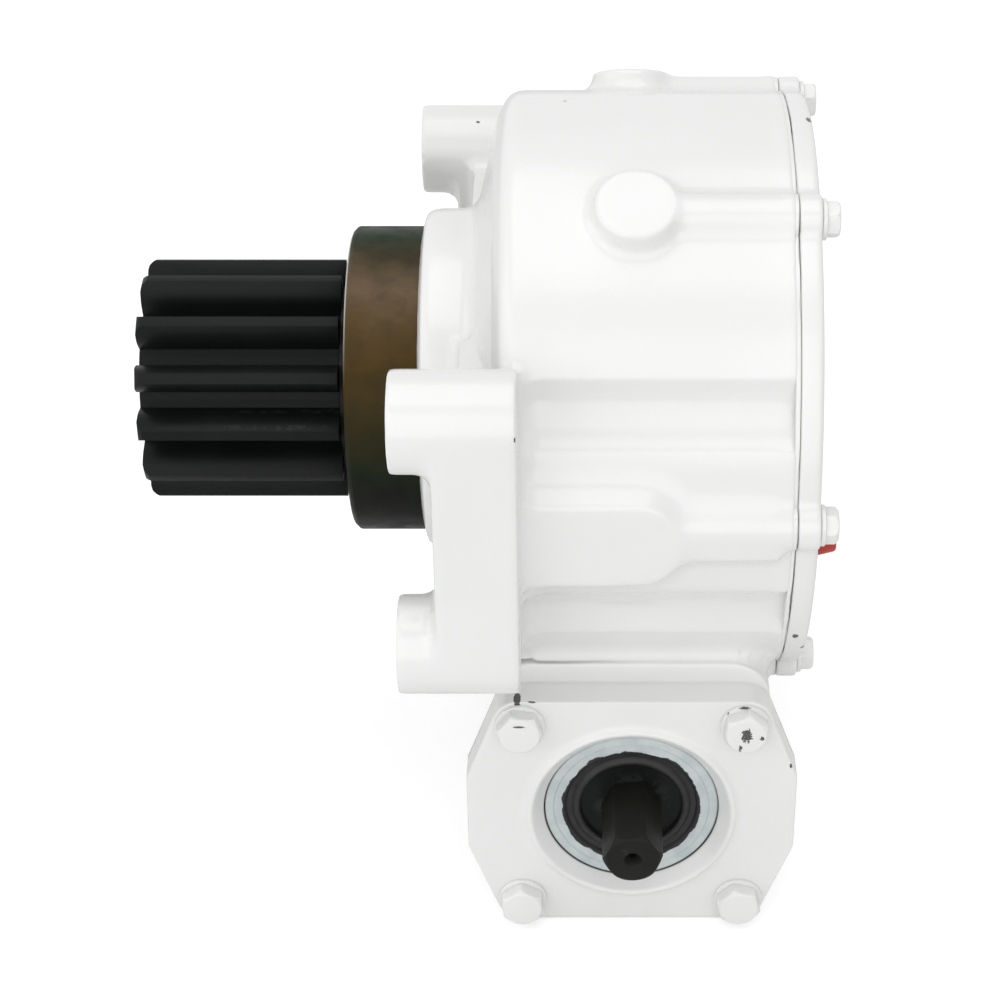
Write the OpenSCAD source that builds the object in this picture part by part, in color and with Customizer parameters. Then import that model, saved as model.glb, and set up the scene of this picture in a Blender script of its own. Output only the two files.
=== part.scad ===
// Worm speed reducer: a cast drum housing on four foot posts, an output pinion with a
// pilot ring behind it, and a cross-mounted worm shaft with a hex end for turning by hand.
// Lengths are in millimetres. X runs along the output shaft away from the pinion,
// Y along the worm shaft away from its hex end, and Z up. The origin is on the output
// axis, in the plane of the four foot ends.

/* [Output pinion and shaft] */
// Number of pinion teeth
pinion_teeth = 13; // [11:1:15]
// Module of the pinion teeth
pinion_module = 6.773; // [6.2:0.001:7.2]
// Length of the pinion teeth
pinion_len = 84; // [60:1:110]
// Pressure angle of pinion and worm wheel, in degrees
pressure_angle = 20; // [18:1:22]
// Diameter of the shaft under the output seal
seal_journal_d = 82; // [79:1:86]
// Diameter of the front bearing seat
front_seat_d = 75; // [73:1:78]
// Diameter of the worm wheel seat
wheel_seat_d = 72; // [68:1:74]
// Diameter of the rear bearing seat
rear_seat_d = 65; // [60:1:69]

/* [Worm gearing] */
// Teeth of the worm wheel, with one thread on the worm
wheel_teeth = 51; // [45:1:54]
// Distance from one worm thread to the next along the worm
worm_pitch = 12.7; // [11.5:0.1:13.4]
// Pitch diameter of the worm
worm_pitch_d = 82.6; // [80:0.1:84]
// Length of the worm thread
worm_thread_len = 84; // [60:1:96]
// Width of the worm wheel rim
rim_width = 40; // [30:1:46]
// Length of the worm wheel hub
wheel_hub_len = 52; // [50:1:58]
// Width of the wheel key
key_width = 20; // [16:1:22]

/* [Bearings] */
// Outer diameter of the front output bearing
front_bearing_od = 130; // [126:1:134]
// Width of the front output bearing
front_bearing_w = 27; // [24:0.5:29]
// Outer diameter of the rear output bearing
rear_bearing_od = 120; // [114:1:124]
// Width of the rear output bearing
rear_bearing_w = 25; // [23:0.5:27]
// Bore of the two worm bearings
worm_bearing_bore = 55; // [52:1:58]
// Outer diameter of the two worm bearings
worm_bearing_od = 100; // [98:1:102]
// Width of the two worm bearings
worm_bearing_w = 22.75; // [20:0.25:24]

/* [Housing drum] */
// Thickness of the drum wall
drum_wall = 13; // [10:0.5:16]
// Outer diameter of the hub behind the pilot ring
hub_od = 145; // [142:1:152]
// Distance from the foot plane to the hub face
hub_face_x = 6.5; // [4:0.5:9]
// Distance from the foot plane to the worm axis
worm_x = 94; // [88:1:98]
// Distance from the foot plane to the cover joint
joint_x = 156.5; // [154:0.5:160]
// Thickness of the cover rim
cover_t = 9.4; // [8:0.1:12]
// Thickness of the cover gasket
gasket_t = 0.8; // [0.5:0.1:1.2]

/* [Pilot ring] */
// Outer diameter of the pilot ring
ring_od = 130; // [128:1:136]
// Length of the pilot ring
ring_len = 30.5; // [26:0.5:36]
// Wall of the pilot ring
ring_wall = 5; // [4:0.5:6]

/* [Foot posts] */
// Distance between the foot bolts across the housing
foot_span_y = 253; // [250:1:262]
// Distance between the foot bolts up and down
foot_span_z = 102; // [92:1:110]
// Diameter of the foot posts
post_d = 40; // [36:1:42]
// Diameter of the foot bolt holes
foot_hole_d = 17.5; // [13.5:0.5:20]
// Distance from the foot plane to the front of the foot plate
plate_front_x = 16; // [12:1:20]
// Distance from the foot plane to the back of the foot plate
plate_back_x = 48.5; // [44:0.5:54]

/* [Worm housing] */
// Half length of the worm housing, to the face of either end cover
worm_end_y = 118; // [116:1:124]
// Thickness of either end cover plate
end_plate_t = 14.5; // [12:0.5:17]
// Thickness of the shims under either end cover
shim_t = 0.5; // [0.2:0.1:1]
// Half width of the end plates between their side lobes
plate_half_w = 69.4; // [67:0.2:74]
// Distance between the end plate bolts
end_bolt_span = 93; // [92:0.5:98]
// Half width of the housing block behind the end plates
block_half = 57.5; // [56:0.5:60]
// Height of the block above the worm axis
block_top = 66.8; // [62:0.2:72]

/* [Worm shaft ends] */
// Diameter of the worm shaft under the seals
worm_journal_d = 43.2; // [40:0.2:46]
// Width across the flats of the hex end
hex_af = 22.2; // [19:0.1:25]
// Distance from the output axis to the tip of the hex end
hex_tip_y = 149; // [142:1:160]
// Bore in the far end of the worm for the motor shaft
motor_bore_d = 25.4; // [22:0.1:28]
// Depth of the bore for the motor shaft
motor_bore_depth = 46; // [36:1:50]
// Pilot diameter of the motor flange
motor_pilot_d = 82.6; // [80:0.1:84]
// Distance between the two motor bolts
motor_bolt_span = 106.4; // [104:0.2:110]

/* [Hidden] */

$fn = 96;
over = 1;              // how far a cut runs past the face it opens
bearing_seat_wall = 6; // least wall of the castings round a bearing seat
seat_inset = 1;        // how far that wall stops short of an end face
running_play = 0.05;   // radial play of a seal or shaft that turns in a fixed part
thread_play = 0.05;    // radial play of a screw in its tapped hole
roller_play = 0.12;    // play of a roller to either raceway
bolt_play = 0.5;       // radial play of a bolt in a clearance hole
tooth_play = 0.15;     // thinning of a worm or wheel tooth on each flank

// Worm gearing
tooth_addendum = worm_pitch / PI;
tooth_dedendum_share = 1.2;
wheel_pitch_r = wheel_teeth * worm_pitch / (2 * PI);
wheel_tip_r = wheel_pitch_r + tooth_addendum;
wheel_root_r = wheel_pitch_r - tooth_dedendum_share * tooth_addendum;
worm_tip_r = worm_pitch_d / 2 + tooth_addendum;
worm_root_r = worm_pitch_d / 2 - tooth_dedendum_share * tooth_addendum;
centre_distance = wheel_pitch_r + worm_pitch_d / 2;
lead_angle = atan(worm_pitch / (PI * worm_pitch_d));
worm_step_count = 24;
worm_runout_share = 0.4;
thread_sink = 1.5;
thread_start = 360 * (worm_thread_len / worm_pitch / 2 + 0.5);   // a gap faces the wheel

// Places along the output shaft
ring_x = hub_face_x - ring_len;
pinion_gap = 3.5;
pinion_back_x = ring_x - pinion_gap;
pinion_tip_x = pinion_back_x - pinion_len;
cup_shoulder = 3.5;
front_bearing_x = hub_face_x + cup_shoulder;
spacer_x = front_bearing_x + front_bearing_w;
wheel_hub_x = worm_x - wheel_hub_len / 2;
rear_bearing_x = worm_x + wheel_hub_len / 2;
washer_x = rear_bearing_x + rear_bearing_w;
lock_washer_t = 2;
lock_nut_w = 9;
lock_nut_x = washer_x + lock_washer_t;
shaft_end_x = lock_nut_x + lock_nut_w + over;

// Pinion
pinion_pitch_r = pinion_module * pinion_teeth / 2;
pinion_tip_r = pinion_pitch_r + pinion_module;
pinion_dedendum_share = 1.25;
pinion_root_r = pinion_pitch_r - pinion_dedendum_share * pinion_module;
pinion_tip_round = 3.8;
tip_round_shares = [[1, 0], [0.5, 0.134], [0.134, 0.5]];     // back from the tip, along the axis
pinion_phase = 61.5;     // where one tooth stands, from the top towards the hex end, in degrees
flank_steps = 6;
centre_hole_r = 5;
centre_hole_depth = 12;
centre_cone_r = 9;

// Wheel hub, rim and key
hub_wall = 14;
hub_web_t = 16;
rim_wall = 14;
rim_bore_r = wheel_root_r - rim_wall;
hub_flange_t = 6;
hub_flange_wall = 10;
hub_flange_r = rim_bore_r + hub_flange_wall;
hub_rim_t = 10;
web_hole_count = 6;
web_hole_r = 7;
rim_bolt_count = 8;
rim_bolt_r = 3;
rim_bolt_len = 24;
rim_bolt_af = 10;
rim_bolt_head_h = 4;
rim_bolt_inset = 5.5;
rim_bolt_circle_r = rim_bore_r + rim_bolt_inset;
key_height = 12;
key_sink = 7.5;
key_end_gap = 3;
spacer_wall = 8;
lock_nut_wall = 13;
lock_nut_r = rear_seat_d / 2 + lock_nut_wall;
lock_washer_wall = 9;
lock_washer_r = rear_seat_d / 2 + lock_washer_wall;
nut_slot_w = 8;
nut_slot_depth = 4;

// Housing drum
wheel_clearance = 1.9;
cavity_r = wheel_tip_r + wheel_clearance;
drum_r = cavity_r + drum_wall;
case_end_x = joint_x - gasket_t;
joint_flange_t = 4;
flange_x = case_end_x - joint_flange_t;
flange_lip = 0.4;
hub_r = hub_od / 2;
hub_round = 6;
hub_neck_len = 19.2;
hub_back_x = hub_face_x + hub_neck_len;
dish_fillet = 4;
dish_inner_r = hub_r + dish_fillet;
dish_inner_x = hub_back_x + dish_fillet;
dish_edge = 10;
dish_outer_r = drum_r - dish_edge;
dish_depth = 12.3;
dish_outer_x = hub_back_x + dish_depth;
shoulder_round = 9;
shoulder_rise = 1.5;
shoulder_x = dish_outer_x + shoulder_rise;
round_steps = 5;
shoulder_start = 75;   // angle at which the shoulder's rounding begins
cavity_front_gap = 9;
cavity_front_x = spacer_x + cavity_front_gap;
cavity_corner = 8;
spigot_r = ring_od / 2 - ring_wall;
output_seal_land = 7.5;
output_seal_r = spigot_r - output_seal_land;
output_seal_w = 13;
output_seal_inset = 3;

// Cover bolts, bosses and ports of the drum
cover_bolt_count = 6;
cover_bolt_r = 4;
cover_bolt_af = 13;
cover_bolt_head_h = 5.3;
cover_bolt_depth = 20;
cover_washer_r = 8.2;
cover_washer_t = 1.8;
lug_r = 10;
lug_sink = 3.2;
bolt_circle_r = drum_r - lug_sink;
port_boss_r = 16.7;
port_boss_rise = 8.2;
port_boss_top = drum_r + port_boss_rise;
port_boss_chamfer = 1.2;
port_boss_depth = 24;
port_r = 8.5;
plug_len = 12;
plug_socket_af = 10;
plug_socket_depth = 6;
cover_round = 2.5;
cover_boss_r = rear_bearing_od / 2 + bearing_seat_wall;
cover_boss_gap = 1.5;
cover_dome_t = 4;
cover_dome_r = cover_boss_r - cover_dome_t;
pocket_depth_wall = 8;
pocket_lip = 8;
pocket_r = rear_bearing_od / 2 - pocket_lip;
cover_dowel_r = 3;
cover_dowel_len = 14;
cover_dowel_circle_r = (cavity_r + drum_r) / 2;
vent_r = 4;
vent_y = -103;
vent_z = -18;
vent_cap_r = 5.4;
vent_cap_t = 8.6;
vent_tip_r = 3.4;
drain_y = 34;

// Feet
post_r = post_d / 2;
wrench_gap = 0.5;
wrench_r = post_r + wrench_gap;
web_step = 8;
web_front_x = plate_front_x + web_step;
web_sink = 12;
web_inner_y = hub_r - web_sink;

// Worm housing and its end covers
block_end_y = worm_end_y - end_plate_t;
block_round = 17;
tunnel_r = worm_bearing_od / 2;
barrel_r = tunnel_r + bearing_seat_wall;
drain_face = max(block_half, barrel_r);
end_bolt_r = 5;
end_bolt_af = 17;
end_bolt_head_h = 6.4;
end_bolt_depth = 20;
end_washer_r = 10.3;
end_washer_t = 2;
plate_corner_r = 11.7;
plate_corner_rise = 0.05;   // how far a corner's round stands past the plate's straight edges
plate_lobe_half = 18.5;
end_ring_r = 43.9;
end_ring_inner_r = 42.4;
end_ring_t = 2.5;
worm_seal_r = 36.8;
worm_seal_rubber_r = 29.7;
worm_seal_inset = 4;
worm_seal_w = 10;
seal_wall = 1.6;
cover_throat_r = 31;
end_spigot_len = 20.25;
worm_bearing_y = block_end_y - end_spigot_len;
motor_pilot_depth = 7;
motor_bolt_r = 6;
motor_bolt_relief = 2;      // depth of the relief for the bolt's end in the housing block
motor_key_w = 6.4;
motor_key_h = 3;
worm_shoulder = 5;
worm_shoulder_r = worm_bearing_bore / 2 + worm_shoulder;
worm_tail_gap = 10;
worm_tail_y = worm_end_y - worm_tail_gap;
hex_start_gap = 7;
hex_start_y = worm_end_y - hex_start_gap;
hex_nose_share = 0.96;
hex_nose_chamfer = 2.2;
hex_turn = -5;     // where the hex end stands, in degrees

// Taper bearings, as shares of the space between bore and outside
roller_share = 0.40;
roller_len_share = 0.62;
roller_taper = 1.6;    // half angle of a roller, in degrees
bearing_angle = 12;    // slope of the roller axes, in degrees
cage_t = 1.4;
cage_rim = 1.8;
cage_play = 0.3;
rib_share = 0.55;
rib_gap = 0.9;
cage_bar_share = 2.4;

// Shared functions and shapes
function arc_pts(c, r, a0, a1, n) =
    [for (i = [0 : n]) c + r * [cos(a0 + (a1 - a0) * i / n), sin(a0 + (a1 - a0) * i / n)]];

function involute(a) = tan(a) * 180 / PI - a;

// Half angle of an involute tooth at radius r, in degrees
function tooth_half_angle(r, teeth, base_r, thin) =
    90 / teeth - thin + involute(pressure_angle) - involute(acos(min(1, base_r / r)));

// One tooth outline from its root up one flank and down the other
function tooth_pts(teeth, pitch_r, root_r, tip_r, thin) =
    let (base_r = pitch_r * cos(pressure_angle),
         low_r = max(root_r, base_r),
         radii = [for (i = [0 : flank_steps]) low_r + (tip_r - low_r) * i / flank_steps],
         foot = tooth_half_angle(low_r, teeth, base_r, thin))
    concat(
        [(root_r - over) * [cos(foot), sin(foot)]],
        [for (r = radii) let (a = tooth_half_angle(r, teeth, base_r, thin))
            r * [cos(a), sin(a)]],
        [for (i = [flank_steps : -1 : 0]) let (a = tooth_half_angle(radii[i], teeth, base_r, thin))
            radii[i] * [cos(a), -sin(a)]],
        [(root_r - over) * [cos(foot), -sin(foot)]]);

module about_x() { rotate([0, 90, 0]) rotate_extrude() children(); }

module about_y() { rotate([-90, 0, 0]) rotate_extrude() children(); }

module x_rod(x0, x1, r) { translate([x0, 0, 0]) rotate([0, 90, 0]) cylinder(h = x1 - x0, r = r); }

module y_rod(y0, y1, r) { translate([0, y0, 0]) rotate([-90, 0, 0]) cylinder(h = y1 - y0, r = r); }

module x_tube(x0, x1, inner_r, outer_r) {
    difference() {
        x_rod(x0, x1, outer_r);
        x_rod(x0 - over, x1 + over, inner_r);
    }
}

module at_worm() { translate([worm_x, 0, -centre_distance]) children(); }

module at_feet() {
    for (side = [-1, 1], level = [-1, 1])
        translate([0, side * foot_span_y / 2, level * foot_span_z / 2]) children();
}

module at_cover_bolts() {
    for (i = [0 : cover_bolt_count - 1])
        rotate([360 * (i + 0.5) / cover_bolt_count, 0, 0])
            translate([0, 0, bolt_circle_r]) children();
}

module at_end_bolts() {
    for (side = [-1, 1], level = [-1, 1])
        translate([side * end_bolt_span / 2, 0, level * end_bolt_span / 2]) children();
}

module at_motor_bolts() {
    for (side = [-1, 1]) translate([side * motor_bolt_span / 2, 0, 0]) children();
}

// Hex-head bolt along +Z, seated at zero
module hex_bolt(shank_r, shank_len, across_flats, head_h) {
    corner_r = across_flats / 2 / cos(30);
    intersection() {
        cylinder(h = head_h, r = corner_r, $fn = 6);
        rotate_extrude() polygon([[0, 0], [corner_r, 0], [corner_r, head_h - (corner_r - across_flats / 2)],
            [across_flats / 2, head_h], [0, head_h]]);
    }
    translate([0, 0, -shank_len]) cylinder(h = shank_len + over, r = shank_r);
}

module washer(outer_r, hole_r, thick) {
    difference() {
        cylinder(h = thick, r = outer_r);
        translate([0, 0, -over]) cylinder(h = thick + 2 * over, r = hole_r);
    }
}

// Taper roller bearing along +Z, its cup thrusting towards zero
function bearing_mid(bore_r, out_r, w) = [(bore_r + out_r) / 2, w / 2];
function bearing_roller_r(bore_r, out_r) = (out_r - bore_r) * roller_share / 2;
function race_point(bore_r, out_r, w, s, side) =
    let (rr = bearing_roller_r(bore_r, out_r),
         u = [sin(bearing_angle), cos(bearing_angle)],
         n = [cos(bearing_angle), -sin(bearing_angle)])
    bearing_mid(bore_r, out_r, w) + s * u
        + side * (rr + s * tan(roller_taper) + roller_play) * n;
function race_radius_at(p, q, z) = p[0] + (q[0] - p[0]) * (z - p[1]) / (q[1] - p[1]);
function bearing_count(bore_r, out_r) =
    floor(PI * (bore_r + out_r) / (2 * bearing_roller_r(bore_r, out_r) + cage_bar_share * cage_t));

module bearing_cup(bore_r, out_r, w) {
    s = w * roller_len_share / 2;
    p = race_point(bore_r, out_r, w, -s, 1);
    q = race_point(bore_r, out_r, w, s, 1);
    rotate_extrude() polygon([[out_r, 0], [out_r, w],
        [race_radius_at(p, q, w), w], [race_radius_at(p, q, 0), 0]]);
}

module bearing_cone(bore_r, out_r, w) {
    rr = bearing_roller_r(bore_r, out_r);
    s = w * roller_len_share / 2 + rib_gap;
    p = race_point(bore_r, out_r, w, -s, -1);
    q = race_point(bore_r, out_r, w, s, -1);
    rib = rib_share * rr;
    rotate_extrude() polygon([[bore_r, 0], [p[0] + rib / 2, 0], [p[0] + rib / 2, p[1] - rib / 2],
        p, q, [q[0] + rib, q[1] + rib / 2], [q[0] + rib, w], [bore_r, w]]);
}

module roller_at(bore_r, out_r, w, extra) {
    rr = bearing_roller_r(bore_r, out_r);
    s = w * roller_len_share / 2;
    mid = bearing_mid(bore_r, out_r, w);
    translate([mid[0], 0, mid[1]]) rotate([0, bearing_angle, 0]) translate([0, 0, -s - extra])
        cylinder(h = 2 * (s + extra), r1 = rr - s * tan(roller_taper) + extra,
                 r2 = rr + s * tan(roller_taper) + extra, $fn = 24);
}

module bearing_rollers(bore_r, out_r, w) {
    count = bearing_count(bore_r, out_r);
    for (i = [0 : count - 1]) rotate([0, 0, 360 * i / count]) roller_at(bore_r, out_r, w, 0);
}

module bearing_cage(bore_r, out_r, w) {
    count = bearing_count(bore_r, out_r);
    s = w * roller_len_share / 2 + cage_rim + cage_play;
    u = [sin(bearing_angle), cos(bearing_angle)];
    n = [cos(bearing_angle), -sin(bearing_angle)];
    mid = bearing_mid(bore_r, out_r, w) + cage_t / 2 * n;
    difference() {
        rotate_extrude() polygon([mid - s * u - cage_t / 2 * n, mid + s * u - cage_t / 2 * n,
            mid + s * u + cage_t / 2 * n, mid - s * u + cage_t / 2 * n]);
        for (i = [0 : count - 1])
            rotate([0, 0, 360 * i / count]) roller_at(bore_r, out_r, w, cage_play);
    }
}

module at_front_bearing() { translate([front_bearing_x, 0, 0]) rotate([0, 90, 0]) children(); }

module at_rear_bearing() {
    translate([rear_bearing_x + rear_bearing_w, 0, 0]) rotate([0, -90, 0]) children();
}

module at_near_bearing() {
    at_worm() translate([0, -worm_bearing_y, 0]) rotate([-90, 0, 0]) children();
}

module at_far_bearing() {
    at_worm() translate([0, worm_bearing_y, 0]) rotate([90, 0, 0]) children();
}

// Outline of the drum's joint face with its bolt lugs, as a slab from x0 to x1
module joint_slab(x0, x1) {
    x_rod(x0, x1, drum_r);
    at_cover_bolts() x_rod(x0, x1, lug_r);
}

// Flange at the end of the casing, one outline a little proud of the drum and its lugs
module joint_flange() {
    translate([flange_x, 0, 0]) rotate([0, 90, 0]) linear_extrude(joint_flange_t) {
        circle(r = drum_r + flange_lip);
        for (i = [0 : cover_bolt_count - 1]) rotate(360 * (i + 0.5) / cover_bolt_count)
            translate([bolt_circle_r, 0]) circle(r = lug_r + flange_lip);
    }
}

// Main casing
module casing_outside() {
    about_x() polygon(concat(
        [[0, ring_x], [spigot_r, ring_x], [spigot_r, hub_face_x]],
        arc_pts([hub_r - hub_round, hub_face_x + hub_round], hub_round, -90, 0, round_steps),
        [[hub_r, hub_back_x], [dish_inner_r, dish_inner_x], [dish_outer_r, dish_outer_x]],
        arc_pts([drum_r - shoulder_round, shoulder_x + shoulder_round], shoulder_round,
                -shoulder_start, 0, round_steps),
        [[drum_r, flange_x + over], [0, flange_x + over]]));
    joint_flange();
    at_feet() x_rod(0, plate_back_x, post_r);
    for (side = [-1, 1]) {
        translate([plate_front_x, side * foot_span_y / 2 - post_r, -foot_span_z / 2])
            cube([plate_back_x - plate_front_x, post_d, foot_span_z]);
        mirror([0, (1 - side) / 2, 0])
            translate([web_front_x, web_inner_y, -foot_span_z / 2])
                cube([plate_back_x - web_front_x, foot_span_y / 2 - web_inner_y, foot_span_z]);
    }
    at_cover_bolts() x_rod(worm_x, flange_x + 2 * over, lug_r);
    for (angle = [-90, -30, 30, 90]) rotate([angle, 0, 0]) port_boss();
    for (angle = [-90, 90]) rotate([angle, 0, 0])
        translate([plate_back_x - over, -port_boss_r, port_boss_top - port_boss_depth])
            cube([worm_x - plate_back_x + over, 2 * port_boss_r, port_boss_depth - port_boss_chamfer]);
    at_worm() worm_block();
    x_rod(hub_face_x + seat_inset, cavity_front_x + seat_inset,
          front_bearing_od / 2 + bearing_seat_wall);
    at_worm() y_rod(-block_end_y + seat_inset, block_end_y - seat_inset, barrel_r);
}

// Raised round pad for a port, standing on the drum above the worm
module port_boss() {
    translate([worm_x, 0, port_boss_top - port_boss_depth]) {
        cylinder(h = port_boss_depth - port_boss_chamfer, r = port_boss_r);
        translate([0, 0, port_boss_depth - port_boss_chamfer])
            cylinder(h = port_boss_chamfer, r1 = port_boss_r, r2 = port_boss_r - port_boss_chamfer);
    }
}

// Block around the worm, with four rounded edges along Y
module worm_block() {
    translate([0, block_end_y, 0]) rotate([90, 0, 0]) linear_extrude(2 * block_end_y) {
        translate([-block_half, -block_half + block_round])
            square([2 * block_half, block_half + block_top - 2 * block_round]);
        translate([-block_half + block_round, -block_half])
            square([2 * (block_half - block_round), block_half + block_top]);
        for (side = [-1, 1], y = [-block_half + block_round, block_top - block_round])
            translate([side * (block_half - block_round), y]) circle(r = block_round);
    }
}

module casing_cavity() {
    about_x() polygon([[0, cavity_front_x - over], [front_bearing_od / 2 + over, cavity_front_x - over],
        [cavity_r - cavity_corner, cavity_front_x], [cavity_r, cavity_front_x + cavity_corner],
        [cavity_r, case_end_x + over], [0, case_end_x + over]]);
    x_rod(front_bearing_x, cavity_front_x, front_bearing_od / 2);
    x_rod(ring_x - over, front_bearing_x + over, output_seal_r);
    at_worm() y_rod(-block_end_y - over, block_end_y + over, tunnel_r);
}

module main_casing() {
    color("whitesmoke") difference() {
        casing_outside();
        casing_cavity();
        at_feet() {
            x_rod(-over, plate_back_x + over, foot_hole_d / 2);
            x_rod(plate_back_x, case_end_x + over, wrench_r);
        }
        at_cover_bolts()
            x_rod(case_end_x - cover_bolt_depth, case_end_x + over, cover_bolt_r + thread_play);
        for (angle = [0, 180]) rotate([angle, 0, 0]) translate([0, 0, cover_dowel_circle_r])
            x_rod(case_end_x - cover_dowel_len / 2, case_end_x + over, cover_dowel_r);
        at_worm() at_end_bolts() {
            y_rod(-block_end_y - over, -block_end_y + end_bolt_depth, end_bolt_r + thread_play);
            y_rod(block_end_y - end_bolt_depth, block_end_y + over, end_bolt_r + thread_play);
        }
        for (angle = [-30, -90]) rotate([angle, 0, 0])
            translate([worm_x, 0, cavity_r - over])
                cylinder(h = port_boss_top - cavity_r + 2 * over, r = port_r);
        at_worm() translate([0, drain_y, -drain_face - over])
            cylinder(h = drain_face, r = port_r);
        at_worm() at_motor_bolts()
            y_rod(block_end_y - motor_bolt_relief, block_end_y + over, motor_bolt_r);
    }
}

// Socket-head screw plug along +Z, its outer face at zero
module screw_plug(len) {
    difference() {
        translate([0, 0, -len]) cylinder(h = len, r = port_r);
        translate([0, 0, -plug_socket_depth])
            cylinder(h = plug_socket_depth + over, r = plug_socket_af / 2 / cos(30), $fn = 6);
    }
}

module fill_plug() {
    color("silver") rotate([-30, 0, 0]) translate([worm_x, 0, port_boss_top - port_boss_chamfer])
        screw_plug(plug_len);
}

module level_plug() {
    color("silver") rotate([-90, 0, 0]) translate([worm_x, 0, port_boss_top - port_boss_chamfer])
        screw_plug(plug_len);
}

module drain_plug() {
    color("silver") at_worm() translate([0, drain_y, -drain_face]) rotate([180, 0, 0])
        screw_plug(drain_face - tunnel_r);
}

// Cover with the rear bearing pocket
module casing_cover() {
    pocket_x = washer_x;
    dome_x = joint_x + cover_t;
    color("white") difference() {
        union() {
            about_x() polygon(concat([[0, joint_x], [drum_r, joint_x]],
                arc_pts([drum_r - cover_round, dome_x - cover_round], cover_round, 0, 90, round_steps),
                [[cover_dome_r + cover_dome_t, dome_x], [cover_dome_r, dome_x + cover_dome_t],
                 [0, dome_x + cover_dome_t]]));
            at_cover_bolts() x_rod(joint_x, dome_x, lug_r);
            x_rod(rear_bearing_x + cover_boss_gap, joint_x + over, cover_boss_r);
        }
        x_rod(rear_bearing_x, pocket_x, rear_bearing_od / 2);
        x_rod(pocket_x - over, dome_x + cover_dome_t - pocket_depth_wall, pocket_r);
        at_cover_bolts() x_rod(joint_x - over, dome_x + over, cover_bolt_r + bolt_play);
        for (angle = [0, 180]) rotate([angle, 0, 0]) translate([0, 0, cover_dowel_circle_r])
            x_rod(joint_x - over, joint_x + cover_dowel_len / 2, cover_dowel_r);
        translate([0, vent_y, vent_z]) x_rod(joint_x - over, dome_x + over, vent_r);
    }
}

module cover_gasket() {
    color("dimgray") difference() {
        joint_slab(case_end_x, joint_x);
        x_rod(case_end_x - over, joint_x + over, cavity_r);
        at_cover_bolts() x_rod(case_end_x - over, joint_x + over, cover_bolt_r + bolt_play);
        for (angle = [0, 180]) rotate([angle, 0, 0]) translate([0, 0, cover_dowel_circle_r])
            x_rod(case_end_x - over, joint_x + over, cover_dowel_r);
    }
}

module cover_bolts() {
    color("white") at_cover_bolts()
        translate([joint_x + cover_t + cover_washer_t, 0, 0]) rotate([0, 90, 0])
            hex_bolt(cover_bolt_r, cover_t + cover_washer_t + gasket_t + cover_bolt_depth - over,
                     cover_bolt_af, cover_bolt_head_h);
}

module cover_washers() {
    color("white") at_cover_bolts() translate([joint_x + cover_t, 0, 0]) rotate([0, 90, 0])
        washer(cover_washer_r, cover_bolt_r + bolt_play, cover_washer_t);
}

module cover_dowels() {
    color("silver") for (angle = [0, 180]) rotate([angle, 0, 0])
        translate([0, 0, cover_dowel_circle_r])
            x_rod(case_end_x - cover_dowel_len / 2, joint_x + cover_dowel_len / 2, cover_dowel_r);
}

// Plastic plug pressed into the vent port of the cover
module transit_plug() {
    face_x = joint_x + cover_t;
    color("firebrick") translate([0, vent_y, vent_z]) {
        x_rod(joint_x, face_x + over, vent_r);
        translate([face_x, 0, 0]) rotate([0, 90, 0])
            cylinder(h = vent_cap_t, r1 = vent_cap_r, r2 = vent_tip_r);
    }
}

module pilot_ring() {
    chamfer = ring_wall / 2;
    color([0.33, 0.27, 0.2]) about_x() polygon([[spigot_r, ring_x],
        [ring_od / 2 - chamfer, ring_x], [ring_od / 2, ring_x + chamfer],
        [ring_od / 2, hub_face_x], [spigot_r, hub_face_x]]);
}

module output_seal() {
    front_x = ring_x + output_seal_inset;
    back_x = front_x + output_seal_w;
    lip_r = seal_journal_d / 2 + running_play;
    color([0.12, 0.12, 0.12]) about_x() polygon([[lip_r + seal_wall, front_x],
        [output_seal_r, front_x], [output_seal_r, back_x], [output_seal_r - seal_wall, back_x],
        [output_seal_r - seal_wall, front_x + 2 * seal_wall],
        [lip_r + 2 * seal_wall, front_x + 2 * seal_wall],
        [lip_r, (front_x + back_x) / 2], [lip_r, front_x + seal_wall]]);
}

module output_shaft() {
    color([0.13, 0.13, 0.14]) difference() {
        union() {
            intersection() {
                translate([pinion_tip_x, 0, 0]) rotate([0, 90, 0])
                    rotate([0, 0, pinion_phase + 180]) linear_extrude(pinion_len) pinion_outline();
                about_x() polygon(concat([[0, pinion_tip_x]],
                    [for (s = tip_round_shares) [pinion_tip_r - s[0] * pinion_tip_round,
                        pinion_tip_x + s[1] * pinion_tip_round]],
                    [[pinion_tip_r + over, pinion_tip_x + pinion_tip_round + over],
                    [pinion_tip_r + over, pinion_back_x], [0, pinion_back_x]]));
            }
            about_x() polygon([[0, pinion_tip_x + over], [pinion_root_r - over, pinion_tip_x + over],
                [pinion_root_r - over, pinion_back_x - over], [seal_journal_d / 2, pinion_back_x],
                [seal_journal_d / 2, front_bearing_x], [front_seat_d / 2, front_bearing_x],
                [front_seat_d / 2, spacer_x], [wheel_seat_d / 2, spacer_x],
                [wheel_seat_d / 2, rear_bearing_x], [rear_seat_d / 2, rear_bearing_x],
                [rear_seat_d / 2, shaft_end_x - over], [rear_seat_d / 2 - over, shaft_end_x],
                [0, shaft_end_x]]);
        }
        x_rod(pinion_tip_x - over, pinion_tip_x + centre_hole_depth, centre_hole_r);
        translate([pinion_tip_x - over, 0, 0]) rotate([0, 90, 0])
            cylinder(h = centre_cone_r - centre_hole_r + over, r1 = centre_cone_r + over,
                     r2 = centre_hole_r);
        key_block();
    }
}

module pinion_outline() {
    circle(r = pinion_root_r);
    for (i = [0 : pinion_teeth - 1]) rotate(360 * i / pinion_teeth)
        polygon(tooth_pts(pinion_teeth, pinion_pitch_r, pinion_root_r, pinion_tip_r, 0));
}

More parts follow.
